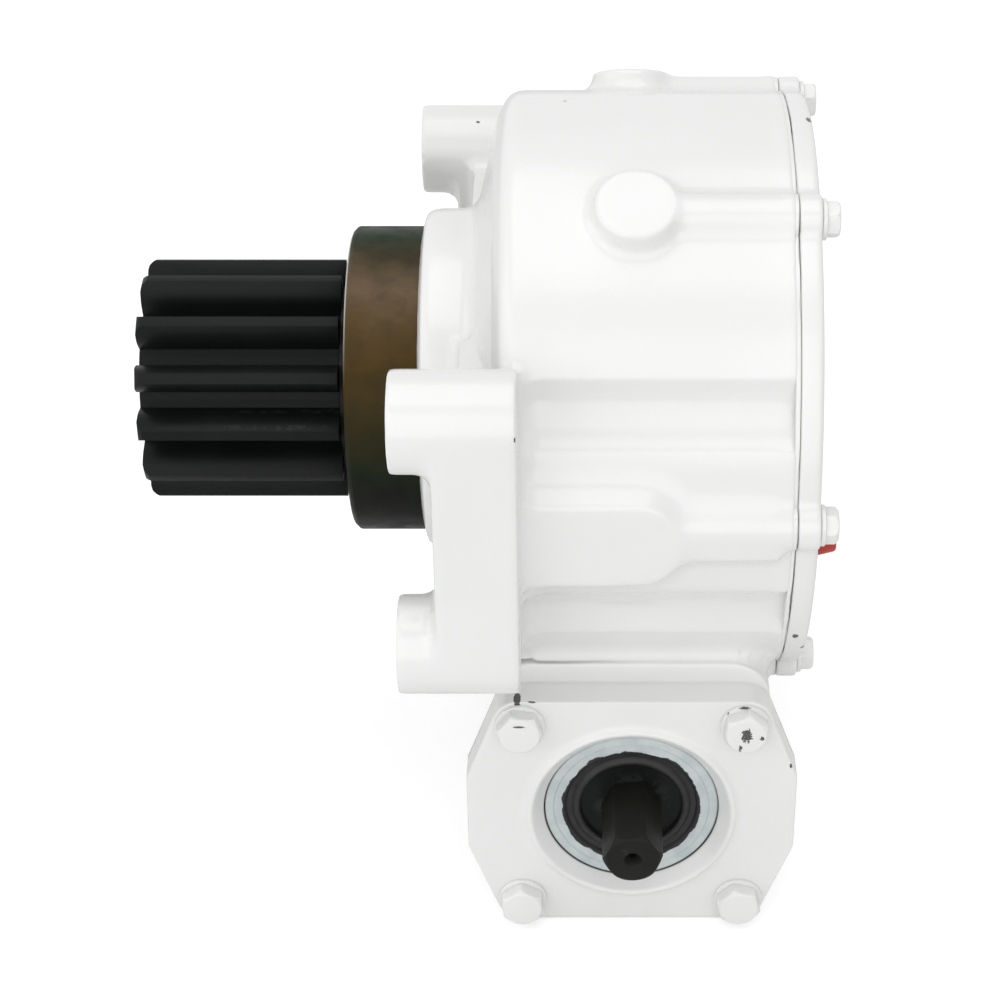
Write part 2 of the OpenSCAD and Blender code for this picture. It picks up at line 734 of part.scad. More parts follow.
module key_block() {
    translate([wheel_hub_x + key_end_gap, -key_width / 2, wheel_seat_d / 2 - key_sink])
        cube([wheel_hub_len - 2 * key_end_gap, key_width, key_height]);
}

module wheel_key() { color("silver") key_block(); }

module spacer_sleeve() {
    color("silver") x_tube(spacer_x, wheel_hub_x, wheel_seat_d / 2, wheel_seat_d / 2 + spacer_wall);
}

module wheel_hub() {
    bore_r = wheel_seat_d / 2;
    rim_x0 = worm_x - rim_width / 2;
    color([0.35, 0.36, 0.36]) difference() {
        about_x() polygon([[bore_r, wheel_hub_x], [bore_r + hub_wall, wheel_hub_x],
            [bore_r + hub_wall, worm_x - hub_web_t / 2],
            [rim_bore_r - hub_rim_t, worm_x - hub_web_t / 2],
            [rim_bore_r - hub_rim_t, rim_x0 - hub_flange_t],
            [hub_flange_r, rim_x0 - hub_flange_t], [hub_flange_r, rim_x0], [rim_bore_r, rim_x0],
            [rim_bore_r, rim_x0 + rim_width], [rim_bore_r - hub_rim_t, rim_x0 + rim_width],
            [rim_bore_r - hub_rim_t, worm_x + hub_web_t / 2],
            [bore_r + hub_wall, worm_x + hub_web_t / 2],
            [bore_r + hub_wall, rear_bearing_x], [bore_r, rear_bearing_x]]);
        key_block();
        translate([wheel_hub_x - over, -key_width / 2, 0])
            cube([wheel_hub_len + 2 * over, key_width, bore_r + key_height - key_sink]);
        for (i = [0 : web_hole_count - 1]) rotate([360 * i / web_hole_count, 0, 0])
            translate([0, 0, (bore_r + hub_wall + rim_bore_r - hub_rim_t) / 2])
                x_rod(worm_x - hub_web_t, worm_x + hub_web_t, web_hole_r);
        at_rim_bolts() x_rod(rim_x0 - hub_flange_t - over, rim_x0 + over, rim_bolt_r + bolt_play);
    }
}

module at_rim_bolts() {
    for (i = [0 : rim_bolt_count - 1]) rotate([360 * (i + 0.5) / rim_bolt_count, 0, 0])
        translate([0, 0, rim_bolt_circle_r]) children();
}

// Rim with teeth that lean by the worm's lead angle
module wheel_rim() {
    thin = tooth_play / wheel_pitch_r * 180 / PI;
    color([0.72, 0.5, 0.22]) difference() {
        union() {
            x_rod(worm_x - rim_width / 2, worm_x + rim_width / 2, wheel_root_r);
            for (i = [0 : wheel_teeth - 1]) rotate([360 * i / wheel_teeth, 0, 0])
                translate([worm_x, 0, 0]) rotate([0, 0, lead_angle]) rotate([0, 90, 0])
                    translate([0, 0, -rim_width / 2 / cos(lead_angle)])
                        linear_extrude(rim_width / cos(lead_angle))
                            polygon(tooth_pts(wheel_teeth, wheel_pitch_r, wheel_root_r,
                                              wheel_tip_r, thin));
        }
        x_rod(worm_x - rim_width, worm_x + rim_width, rim_bore_r);
        at_rim_bolts() x_rod(worm_x - rim_width / 2 - over, worm_x - rim_width / 2 + rim_bolt_len,
            rim_bolt_r + thread_play);
    }
}

module wheel_rim_bolts() {
    color([0.2, 0.2, 0.2]) at_rim_bolts()
        translate([worm_x - rim_width / 2 - hub_flange_t, 0, 0]) rotate([0, -90, 0])
            hex_bolt(rim_bolt_r, hub_flange_t + rim_bolt_len - over, rim_bolt_af, rim_bolt_head_h);
}

module lock_washer() {
    color("silver") x_tube(washer_x, lock_nut_x, rear_seat_d / 2, lock_washer_r);
}

module lock_nut() {
    color([0.3, 0.3, 0.3]) difference() {
        x_tube(lock_nut_x, lock_nut_x + lock_nut_w, rear_seat_d / 2, lock_nut_r);
        for (angle = [0 : 90 : 270]) rotate([angle, 0, 0])
            translate([lock_nut_x - over, -nut_slot_w / 2, lock_nut_r - nut_slot_depth])
                cube([lock_nut_w + 2 * over, nut_slot_w, nut_slot_depth + over]);
    }
}

// Output bearings
module front_bearing_cup() {
    color("silver") at_front_bearing()
        bearing_cup(front_seat_d / 2, front_bearing_od / 2, front_bearing_w);
}

module front_bearing_cone() {
    color("silver") at_front_bearing()
        bearing_cone(front_seat_d / 2, front_bearing_od / 2, front_bearing_w);
}

module front_bearing_rollers() {
    color("gainsboro") at_front_bearing()
        bearing_rollers(front_seat_d / 2, front_bearing_od / 2, front_bearing_w);
}

module front_bearing_cage() {
    color("darkgray") at_front_bearing()
        bearing_cage(front_seat_d / 2, front_bearing_od / 2, front_bearing_w);
}

module rear_bearing_cup() {
    color("silver") at_rear_bearing()
        bearing_cup(rear_seat_d / 2, rear_bearing_od / 2, rear_bearing_w);
}

module rear_bearing_cone() {
    color("silver") at_rear_bearing()
        bearing_cone(rear_seat_d / 2, rear_bearing_od / 2, rear_bearing_w);
}

module rear_bearing_rollers() {
    color("gainsboro") at_rear_bearing()
        bearing_rollers(rear_seat_d / 2, rear_bearing_od / 2, rear_bearing_w);
}

module rear_bearing_cage() {
    color("darkgray") at_rear_bearing()
        bearing_cage(rear_seat_d / 2, rear_bearing_od / 2, rear_bearing_w);
}

// Worm shaft: thread, bearing seats, seal journals, hex end and motor bore
module worm_shaft() {
    seat_r = worm_bearing_bore / 2;
    shoulder_y = worm_bearing_y - worm_bearing_w;
    journal_r = worm_journal_d / 2;
    root_half = worm_thread_len / 2 + over;
    color([0.16, 0.16, 0.17]) at_worm() difference() {
        union() {
            about_y() polygon([[0, -hex_start_y], [journal_r, -hex_start_y],
                [journal_r, -worm_bearing_y], [seat_r, -worm_bearing_y], [seat_r, -shoulder_y],
                [worm_shoulder_r, -shoulder_y], [worm_shoulder_r, -root_half - over],
                [worm_root_r, -root_half], [worm_root_r, root_half],
                [worm_shoulder_r, root_half + over], [worm_shoulder_r, shoulder_y],
                [seat_r, shoulder_y], [seat_r, worm_bearing_y], [journal_r, worm_bearing_y],
                [journal_r, worm_tail_y], [0, worm_tail_y]]);
            worm_thread();
            hex_end();
        }
        y_rod(worm_tail_y - motor_bore_depth, worm_tail_y + over, motor_bore_d / 2);
        translate([-motor_key_w / 2, worm_tail_y - motor_bore_depth, 0])
            cube([motor_key_w, motor_bore_depth + over, motor_bore_d / 2 + motor_key_h]);
    }
}

module hex_end() {
    corner_r = hex_af / 2 / cos(30);
    intersection() {
        translate([0, -hex_tip_y, 0]) rotate([-90, 0, 0]) rotate(hex_turn)
            cylinder(h = hex_tip_y - hex_start_y + over, r = corner_r, $fn = 6);
        about_y() polygon([[0, -hex_tip_y], [hex_nose_share * hex_af / 2, -hex_tip_y],
            [corner_r + over, -hex_tip_y + hex_nose_chamfer], [corner_r + over, -hex_start_y + over],
            [0, -hex_start_y + over]]);
    }
}

// Right-hand thread, one closed strip wound round the worm's root
function thread_section(a) =
    let (turns = worm_thread_len / worm_pitch,
         along = a / 360,
         fade = min(1, along / worm_runout_share, (turns - along) / worm_runout_share),
         top_r = worm_root_r + (worm_tip_r - worm_root_r) * max(0, fade),
         half_pitch_w = worm_pitch / 4 - tooth_play,
         slope = tan(pressure_angle),
         top_w = half_pitch_w - (top_r - worm_pitch_d / 2) * slope,
         low_r = worm_root_r - thread_sink,
         low_w = half_pitch_w - (low_r - worm_pitch_d / 2) * slope,
         mid = (a / 360 - turns / 2) * worm_pitch)
    [for (p = [[low_r, -low_w], [top_r, -top_w], [top_r, top_w], [low_r, low_w]])
        [p[0] * sin(a - thread_start), mid + p[1], p[0] * cos(a - thread_start)]];

module worm_thread() {
    count = ceil(worm_thread_len / worm_pitch * worm_step_count);
    last = 360 * worm_thread_len / worm_pitch;
    rings = [for (i = [0 : count]) thread_section(last * i / count)];
    points = [for (ring = rings, p = ring) p];
    sides = [for (i = [0 : count - 1], k = [0 : 3]) let (n = (k + 1) % 4)
        each [[4 * i + k, 4 * i + n, 4 * i + 4 + n], [4 * i + k, 4 * i + 4 + n, 4 * i + 4 + k]]];
    top = 4 * count;
    ends = [[0, 3, 2], [0, 2, 1], [top, top + 1, top + 2], [top, top + 2, top + 3]];
    polyhedron(points, concat(sides, ends));
}

// Plate outline shared by both end covers, with a lobe on either side
module end_plate_outline() {
    c = end_bolt_span / 2;
    edge_r = plate_corner_r - plate_corner_rise;
    lobe = [plate_half_w, plate_lobe_half];
    away = [c, c] - lobe;
    lean = atan2(away[1], away[0]) - asin(edge_r / norm(away));
    tangent = [c, c] + edge_r * [sin(lean), -cos(lean)];
    quarter = [lobe, tangent, [c, c + edge_r]];
    polygon([for (turn = [[1, 1], [-1, 1], [-1, -1], [1, -1]], i = [0 : 2])
        let (p = quarter[turn[0] * turn[1] > 0 ? i : 2 - i]) [turn[0] * p[0], turn[1] * p[1]]]);
    for (side = [-1, 1], level = [-1, 1]) translate([side * c, level * c]) circle(r = plate_corner_r);
}

// Slab of that outline, from distance y0 to y1 along +Y
module end_plate(y0, y1) {
    translate([0, y1, 0]) rotate([90, 0, 0]) linear_extrude(y1 - y0) end_plate_outline();
}

// Cover seen from its outer face at zero, with +Z outwards
module end_cover_body() {
    difference() {
        union() {
            translate([0, 0, -(end_plate_t - shim_t)]) linear_extrude(end_plate_t - shim_t)
                end_plate_outline();
            translate([0, 0, -(end_plate_t + end_spigot_len)])
                cylinder(h = end_plate_t + end_spigot_len, r = tunnel_r);
            children();
        }
        translate([0, 0, -(end_plate_t + end_spigot_len) - over])
            cylinder(h = end_spigot_len + end_plate_t - worm_seal_inset - worm_seal_w + over,
                     r = cover_throat_r);
        at_plate_bolts() translate([0, 0, -end_plate_t - over])
            cylinder(h = end_plate_t + 2 * over, r = end_bolt_r + bolt_play);
    }
}

module at_plate_bolts() {
    for (side = [-1, 1], level = [-1, 1])
        translate([side * end_bolt_span / 2, level * end_bolt_span / 2]) children();
}

module worm_end_cover() {
    color("white") at_worm() translate([0, -worm_end_y, 0]) rotate([90, 0, 0]) difference() {
        end_cover_body() cylinder(h = end_ring_t, r = end_ring_r);
        translate([0, 0, -worm_seal_inset - worm_seal_w])
            cylinder(h = worm_seal_inset + worm_seal_w + end_ring_t + over, r = worm_seal_r);
        translate([0, 0, -worm_seal_inset])
            cylinder(h = worm_seal_inset + end_ring_t, r1 = worm_seal_r, r2 = end_ring_inner_r);
    }
}

module motor_adapter() {
    color("white") at_worm() translate([0, worm_end_y, 0]) rotate([-90, 0, 0]) difference() {
        end_cover_body();
        translate([0, 0, -motor_pilot_depth])
            cylinder(h = motor_pilot_depth + over, r = motor_pilot_d / 2);
        translate([0, 0, -worm_seal_inset - worm_seal_w - motor_pilot_depth])
            cylinder(h = worm_seal_inset + worm_seal_w, r = worm_seal_r);
        at_motor_bolts() translate([0, 0, -end_plate_t - motor_bolt_relief])
            cylinder(h = end_plate_t + motor_bolt_relief + over, r = motor_bolt_r);
    }
}

module shim_slab(y0, y1) {
    difference() {
        end_plate(y0, y1);
        y_rod(y0 - over, y1 + over, tunnel_r);
        at_end_bolts() y_rod(y0 - over, y1 + over, end_bolt_r + bolt_play);
    }
}

module worm_cover_shims() {
    color("dimgray") at_worm() shim_slab(-block_end_y - shim_t, -block_end_y);
}

module adapter_shims() {
    color("dimgray") at_worm() difference() {
        shim_slab(block_end_y, block_end_y + shim_t);
        at_motor_bolts() y_rod(block_end_y - over, block_end_y + shim_t + over, motor_bolt_r);
    }
}

module end_bolt_set() {
    at_plate_bolts() translate([0, 0, end_washer_t])
        hex_bolt(end_bolt_r, end_washer_t + end_plate_t + end_bolt_depth - over,
                 end_bolt_af, end_bolt_head_h);
}

module end_washer_set() { at_plate_bolts() washer(end_washer_r, end_bolt_r + bolt_play, end_washer_t); }

module worm_cover_bolts() {
    color("white") at_worm() translate([0, -worm_end_y, 0]) rotate([90, 0, 0]) end_bolt_set();
}

module worm_cover_washers() {
    color("white") at_worm() translate([0, -worm_end_y, 0]) rotate([90, 0, 0]) end_washer_set();
}

module adapter_bolts() {
    color("white") at_worm() translate([0, worm_end_y, 0]) rotate([-90, 0, 0]) end_bolt_set();
}

module adapter_washers() {
    color("white") at_worm() translate([0, worm_end_y, 0]) rotate([-90, 0, 0]) end_washer_set();
}

// Worm seals
module worm_seal_case() {
    color([0.8, 0.8, 0.8]) at_worm() translate([0, -worm_end_y + worm_seal_inset, 0]) about_y()
        polygon([[worm_seal_rubber_r, 0], [worm_seal_r, 0], [worm_seal_r, worm_seal_w],
            [worm_seal_r - seal_wall, worm_seal_w], [worm_seal_r - seal_wall, seal_wall],
            [worm_seal_rubber_r, seal_wall]]);
}

module worm_seal_lip() {
    lip_r = worm_journal_d / 2 + running_play;
    color([0.1, 0.1, 0.1]) at_worm() translate([0, -worm_end_y + worm_seal_inset, 0]) about_y()
        polygon([[worm_seal_rubber_r, 0], [worm_seal_rubber_r, seal_wall],
            [worm_seal_rubber_r - seal_wall, 2 * seal_wall], [lip_r + seal_wall, 2 * seal_wall],
            [lip_r + seal_wall, worm_seal_w - seal_wall], [lip_r, worm_seal_w - 2 * seal_wall],
            [lip_r, seal_wall], [lip_r + seal_wall, 0]]);
}

module motor_side_seal() {
    lip_r = worm_journal_d / 2 + running_play;
    face_y = worm_end_y - motor_pilot_depth - worm_seal_inset;
    color([0.1, 0.1, 0.1]) at_worm() translate([0, face_y, 0]) mirror([0, 1, 0]) about_y()
        polygon([[lip_r + seal_wall, 0], [worm_seal_r, 0], [worm_seal_r, worm_seal_w],
            [worm_seal_r - seal_wall, worm_seal_w], [worm_seal_r - seal_wall, 2 * seal_wall],
            [lip_r + 2 * seal_wall, 2 * seal_wall], [lip_r, worm_seal_w / 2], [lip_r, seal_wall]]);
}

// Worm bearings
module near_bearing_cup() {
    color("silver") at_near_bearing()
        bearing_cup(worm_bearing_bore / 2, worm_bearing_od / 2, worm_bearing_w);
}

module near_bearing_cone() {
    color("silver") at_near_bearing()
        bearing_cone(worm_bearing_bore / 2, worm_bearing_od / 2, worm_bearing_w);
}

module near_bearing_rollers() {
    color("gainsboro") at_near_bearing()
        bearing_rollers(worm_bearing_bore / 2, worm_bearing_od / 2, worm_bearing_w);
}

module near_bearing_cage() {
    color("darkgray") at_near_bearing()
        bearing_cage(worm_bearing_bore / 2, worm_bearing_od / 2, worm_bearing_w);
}

module far_bearing_cup() {
    color("silver") at_far_bearing()
        bearing_cup(worm_bearing_bore / 2, worm_bearing_od / 2, worm_bearing_w);
}

module far_bearing_cone() {
    color("silver") at_far_bearing()
        bearing_cone(worm_bearing_bore / 2, worm_bearing_od / 2, worm_bearing_w);
}

module far_bearing_rollers() {
    color("gainsboro") at_far_bearing()
        bearing_rollers(worm_bearing_bore / 2, worm_bearing_od / 2, worm_bearing_w);
}

module far_bearing_cage() {
    color("darkgray") at_far_bearing()
        bearing_cage(worm_bearing_bore / 2, worm_bearing_od / 2, worm_bearing_w);
}

main_casing();
casing_cover();
cover_gasket();
cover_bolts();
cover_washers();
cover_dowels();
transit_plug();
fill_plug();
level_plug();
drain_plug();
pilot_ring();
output_seal();
output_shaft();
spacer_sleeve();
wheel_hub();
wheel_rim();
wheel_rim_bolts();
wheel_key();
lock_washer();
lock_nut();
front_bearing_cup();
front_bearing_cone();
front_bearing_rollers();
front_bearing_cage();
rear_bearing_cup();
rear_bearing_cone();
rear_bearing_rollers();
rear_bearing_cage();
worm_shaft();
worm_end_cover();
worm_cover_shims();
worm_cover_bolts();
worm_cover_washers();
worm_seal_case();
worm_seal_lip();
motor_adapter();
adapter_shims();
adapter_bolts();
adapter_washers();
motor_side_seal();
near_bearing_cup();
near_bearing_cone();
near_bearing_rollers();
near_bearing_cage();
far_bearing_cup();
far_bearing_cone();
far_bearing_rollers();
far_bearing_cage();
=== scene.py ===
"""Looks of a worm speed reducer: painted castings, black pinion and hex shaft, blued pilot ring."""

import math

import bpy
from mathutils import Matrix, Vector


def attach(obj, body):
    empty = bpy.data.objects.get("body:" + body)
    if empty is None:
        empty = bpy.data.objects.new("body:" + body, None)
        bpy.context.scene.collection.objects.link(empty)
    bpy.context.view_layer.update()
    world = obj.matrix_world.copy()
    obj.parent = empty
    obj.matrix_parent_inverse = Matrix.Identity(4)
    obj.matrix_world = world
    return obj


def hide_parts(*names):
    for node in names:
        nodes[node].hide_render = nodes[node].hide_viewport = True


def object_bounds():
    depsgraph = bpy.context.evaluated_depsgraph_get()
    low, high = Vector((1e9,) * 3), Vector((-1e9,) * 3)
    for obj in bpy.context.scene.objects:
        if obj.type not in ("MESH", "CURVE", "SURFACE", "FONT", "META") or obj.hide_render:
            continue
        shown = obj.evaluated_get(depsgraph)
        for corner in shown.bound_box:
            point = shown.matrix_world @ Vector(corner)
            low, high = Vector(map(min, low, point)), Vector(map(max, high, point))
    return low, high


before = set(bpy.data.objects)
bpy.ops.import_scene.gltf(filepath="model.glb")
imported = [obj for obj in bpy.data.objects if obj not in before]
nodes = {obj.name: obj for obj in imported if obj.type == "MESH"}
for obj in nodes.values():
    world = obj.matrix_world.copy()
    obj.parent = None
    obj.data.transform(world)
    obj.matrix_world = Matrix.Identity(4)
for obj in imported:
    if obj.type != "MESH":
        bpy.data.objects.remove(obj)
cad_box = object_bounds()
MM = 0.001

# Places of the reducer's own axes and faces, in metres
WORM_AXIS = Vector((94 * MM, 0, -144.3847 * MM))
WORM_FACE = 118 * MM
BLOCK_END = 103.75 * MM
JOINT_X = 156.5 * MM
COVER_FACE_X = 165.9 * MM
COVER_BOLT_R = 118.83 * MM
END_BOLT_HALF = 46.5 * MM
VENT_PLACE = Vector((COVER_FACE_X, -103 * MM, -18 * MM))


# Tolerances of the meshes: loose points that are one, and the angles, in degrees, of flat faces, of
# edges to round and of edges that stay sharp in the shading
SAME_POINT = 0.005 * MM
SAME_RING_POINT = 0.002 * MM
FLAT_ANGLE = 0.3
ROUNDED_ANGLE = 25
SHADING_ANGLE = 28
ROUNDED_SHADING_ANGLE = 35


# Camera at the photograph's angle, its tilt in degrees
CAMERA_TILT = 57
CAMERA_PLACE = (71.4 * MM, -929.7 * MM, 512.8 * MM)
CAMERA_LENS = 88.45
CAMERA_SENSOR = 36
CAMERA_SHIFT = (-0.078, 0.055)

camera_data = bpy.data.cameras.new("camera")
camera_data.lens = CAMERA_LENS
camera_data.sensor_width = CAMERA_SENSOR
camera_data.shift_x, camera_data.shift_y = CAMERA_SHIFT
camera_data.clip_start = 0.05
camera_data.clip_end = 50
camera = bpy.data.objects.new("camera", camera_data)
camera.location = CAMERA_PLACE
camera.rotation_euler = (math.radians(CAMERA_TILT), 0, 0)
bpy.context.scene.collection.objects.link(camera)
bpy.context.scene.camera = camera


# Modelling helpers
def deselect_all():
    if bpy.context.object and bpy.context.object.mode != "OBJECT":
        bpy.ops.object.mode_set(mode="OBJECT")
    bpy.ops.object.select_all(action="DESELECT")


def pick(piece):
    deselect_all()
    piece.select_set(True)
    bpy.context.view_layer.objects.active = piece


def edit_all(piece):
    pick(piece)
    bpy.ops.object.mode_set(mode="EDIT")
    bpy.ops.mesh.select_all(action="SELECT")


def leave_edit():
    bpy.ops.object.mode_set(mode="OBJECT")


def settle(piece):
    """Puts the object's place, turn and scale into its mesh."""
    pick(piece)
    bpy.ops.object.transform_apply(location=True, rotation=True, scale=True)
    return piece


def turned(name, profile, axis, centre, turns=96):
    """A turned piece: a circle is extruded and scaled along its axis through (place, radius) points."""
    deselect_all()
    place, radius = profile[0]
    bpy.ops.mesh.primitive_circle_add(vertices=turns, radius=radius, location=(0, 0, place))
    piece = bpy.context.object
    piece.name = name
    settle(piece)
    edit_all(piece)
    for next_place, next_radius in profile[1:]:
        bpy.ops.mesh.extrude_region_move(TRANSFORM_OT_translate={"value": (0, 0, next_place - place)})
        share = next_radius / radius
        bpy.ops.transform.resize(value=(share, share, 1), center_override=(0, 0, next_place))
        place, radius = next_place, next_radius
    leave_edit()
    piece.rotation_euler = {"+X": (0, math.pi / 2, 0), "-Y": (math.pi / 2, 0, 0),
                            "+Y": (-math.pi / 2, 0, 0), "+Z": (0, 0, 0)}[axis]
    piece.location = centre
    return settle(piece)


def turned_ring(name, profile, axis, centre, turns=96):
    """A turned ring: the profile's last point joins its first."""
    piece = turned(name, profile + profile[:1], axis, centre, turns)
    edit_all(piece)
    bpy.ops.mesh.remove_doubles(threshold=SAME_RING_POINT)
    bpy.ops.mesh.normals_make_consistent(inside=False)
    leave_edit()
    return piece


def turned_plug(name, profile, axis, centre, turns=96):
    """A turned solid: the first and last circles are filled."""
    piece = turned(name, profile, axis, centre, turns)
    pick(piece)
    bpy.ops.object.mode_set(mode="EDIT")
    bpy.ops.mesh.select_mode(type="EDGE")
    bpy.ops.mesh.select_all(action="DESELECT")
    bpy.ops.mesh.select_non_manifold()
    bpy.ops.mesh.edge_face_add()
    bpy.ops.mesh.select_all(action="SELECT")
    bpy.ops.mesh.normals_make_consistent(inside=False)
    leave_edit()
    return piece


def use_modifier(piece, kind, **settings):
    pick(piece)
    modifier = piece.modifiers.new(kind.lower(), kind)
    for key, value in settings.items():
        setattr(modifier, key, value)
    bpy.ops.object.modifier_apply(modifier=modifier.name)
    return piece


def smooth_by_angle(piece, degrees=SHADING_ANGLE):
    pick(piece)
    bpy.ops.object.shade_smooth_by_angle(angle=math.radians(degrees))
    return piece


def merged_copy(node, name):
    """A copy of a CAD node's mesh with its loose triangles joined."""
    piece = bpy.data.objects.new(name, nodes[node].data.copy())
    piece.data.materials.clear()
    bpy.context.scene.collection.objects.link(piece)
    pick(piece)
    bpy.ops.mesh.customdata_custom_splitnormals_clear()
    edit_all(piece)
    bpy.ops.mesh.remove_doubles(threshold=SAME_POINT)
    leave_edit()
    return piece


def cut_with(piece, cutter, operation):
    """Cuts the piece by another solid, which is used up."""
    use_modifier(piece, "BOOLEAN", operation=operation, object=cutter, solver="EXACT")
    bpy.data.objects.remove(cutter)


def round_edges(piece, width, segments):
    """Makes the flat faces whole and rounds the sharp edges."""
    edit_all(piece)
    bpy.ops.mesh.dissolve_limited(angle_limit=math.radians(FLAT_ANGLE))
    leave_edit()
    use_modifier(piece, "BEVEL", width=width, segments=segments, limit_method="ANGLE",
                 angle_limit=math.radians(ROUNDED_ANGLE), use_clamp_overlap=True)
    return smooth_by_angle(piece, ROUNDED_SHADING_ANGLE)


def soften_inside(piece, low, high, passes):
    """Smooths only the skin within a box."""
    for face in piece.data.polygons:
        face.select = False
    for vertex in piece.data.vertices:
        place = vertex.co
        vertex.select = all(low[axis] < place[axis] < high[axis] for axis in range(3))
    pick(piece)
    bpy.context.tool_settings.mesh_select_mode = (True, False, False)
    bpy.ops.object.mode_set(mode="EDIT")
    bpy.ops.mesh.vertices_smooth(factor=0.5, repeat=passes)
    leave_edit()


def cast_rounding(piece, voxel, fillet, passes, most_triangles, soft_box=None):
    """Gives a sharp solid a casting's fillets: grown, joined into one skin, shrunk back and smoothed."""
    use_modifier(piece, "REMESH", mode="VOXEL", voxel_size=voxel)
    use_modifier(piece, "DISPLACE", strength=fillet, mid_level=0)
    use_modifier(piece, "REMESH", mode="VOXEL", voxel_size=voxel)
    use_modifier(piece, "SMOOTH", iterations=3, factor=0.5)
    use_modifier(piece, "DISPLACE", strength=-fillet, mid_level=0)
    use_modifier(piece, "SMOOTH", iterations=passes, factor=0.5)
    if soft_box:
        soften_inside(piece, *soft_box)
    triangles = 2 * len(piece.data.polygons)
    if triangles > most_triangles:
        use_modifier(piece, "DECIMATE", ratio=most_triangles / triangles)
    pick(piece)
    bpy.ops.object.shade_smooth()
    return piece


def join_pieces(name, pieces):
    deselect_all()
    for piece in pieces:
        piece.select_set(True)
    bpy.context.view_layer.objects.active = pieces[0]
    bpy.ops.object.join()
    pieces[0].name = name
    return pieces[0]


def copies_at(name, piece, places):
    """One object holding a copy of the piece's mesh at each matrix."""
    twins = []
    for matrix in places:
        twin = bpy.data.objects.new(name, piece.data.copy())
        bpy.context.scene.collection.objects.link(twin)
        twin.data.transform(matrix)
        twins.append(twin)
    bpy.data.objects.remove(piece)
    return join_pieces(name, twins)


# Shared effects
def new_effect(name, output, **starts):
    """An empty node group: one input for each starting value, and one output."""
    group = bpy.data.node_groups.new(name, "ShaderNodeTree")
    for label, start in starts.items():
        kind = "NodeSocketVector" if isinstance(start, tuple) else "NodeSocketFloat"
        socket = group.interface.new_socket(name=label.replace("_", " "), in_out="INPUT", socket_type=kind)
        socket.default_value = start
    group.interface.new_socket(name=output, in_out="OUTPUT", socket_type="NodeSocketFloat")
    return group, group.nodes.new("NodeGroupInput").outputs, group.nodes.new("NodeGroupOutput").inputs[0]


def place_effect(tree, effect, **values):
    """Puts an effect into a material with the material's own values."""
    node = tree.nodes.new("ShaderNodeGroup")
    node.node_tree = effect
    for label, value in values.items():
        wire(tree, value, node.inputs[label.replace("_", " ")])
    return node.outputs[0]


def wire(tree, source, target):
    """Links a socket to the target, or sets the target to a plain value."""
    if hasattr(source, "is_output"):
        tree.links.new(source, target)
    else:
        target.default_value = source


def calc(tree, operation, *values):
    node = tree.nodes.new("ShaderNodeMath")
    node.operation = operation
    for slot, value in enumerate(values):
        wire(tree, value, node.inputs[slot])
    return node.outputs[0]


def vector_calc(tree, operation, *values):
    node = tree.nodes.new("ShaderNodeVectorMath")
    node.operation = operation
    for slot, value in enumerate(values):
        wire(tree, value, node.inputs[slot])
    return node.outputs["Value"] if operation in ("LENGTH", "DOT_PRODUCT") else node.outputs[0]


def ramp_between(tree, value, low, high):
    """Rises smoothly from zero at low to one at high."""
    node = tree.nodes.new("ShaderNodeMapRange")
    node.interpolation_type = "SMOOTHSTEP"
    for label, part in (("Value", value), ("From Min", low), ("From Max", high)):
        wire(tree, part, node.inputs[label])
    return node.outputs[0]


def fall_between(tree, value, low, high):
    """Falls smoothly from one at low to zero at high."""
    return calc(tree, "SUBTRACT", 1.0, ramp_between(tree, value, low, high))


def thin_line(tree, off, width, core=0.4):
    """A line as wide as the width to each side of off = 0, full over its core's share."""
    return fall_between(tree, calc(tree, "ABSOLUTE", off), calc(tree, "MULTIPLY", width, core), width)


def noise(tree, place, scale, detail=3.0, rough=0.55):
    node = tree.nodes.new("ShaderNodeTexNoise")
    wire(tree, place, node.inputs["Vector"])
    wire(tree, scale, node.inputs["Scale"])
    node.inputs["Detail"].default_value = detail
    node.inputs["Roughness"].default_value = rough
    return node.outputs["Fac"]


def wander(tree, place, amount, scale, detail=3.0):
    """Noise about zero, as wide as the amount."""
    return calc(tree, "MULTIPLY", calc(tree, "SUBTRACT", noise(tree, place, scale, detail), 0.5), amount)


def object_place(tree):
    return tree.nodes.new("ShaderNodeTexCoord").outputs["Object"]


def parts_of(tree, place):
    split = tree.nodes.new("ShaderNodeSeparateXYZ")
    wire(tree, place, split.inputs[0])
    return split.outputs


def round_worm_axis(tree, place, centre):
    """The way out from the worm's axis, square to it."""
    return vector_calc(tree, "MULTIPLY", vector_calc(tree, "SUBTRACT", place, centre), (1.0, 0.0, 1.0))


def blend_colour(tree, factor, first, second):
    node = tree.nodes.new("ShaderNodeMix")
    node.data_type = "RGBA"
    wire(tree, factor, node.inputs[0])
    wire(tree, first, node.inputs[6])
    wire(tree, second, node.inputs[7])
    return node.outputs[2]


def make_tone_patches():
    """Soft patches of a second tone, as thick paint or oxide has."""
    group, given, mask = new_effect("tone_patches", "Mask", Scale=20.0, Low=0.4, High=0.65)
    value = noise(group, object_place(group), given["Scale"], 4.0)
    wire(group, ramp_between(group, value, given["Low"], given["High"]), mask)
    return group


def make_edge_wear():
    """Thin broken wear on sharp outer edges."""
    group, given, mask = new_effect("edge_wear", "Mask", Edge=0.56, Break_Scale=400.0, Break=0.55)
    point = group.nodes.new("ShaderNodeNewGeometry").outputs["Pointiness"]
    edge = ramp_between(group, point, given["Edge"], calc(group, "ADD", given["Edge"], 0.04))
    broken = noise(group, object_place(group), given["Break Scale"], 5.0, 0.65)
    gaps = ramp_between(group, broken, given["Break"], calc(group, "ADD", given["Break"], 0.05))
    wire(group, calc(group, "MULTIPLY", edge, gaps), mask)
    return group


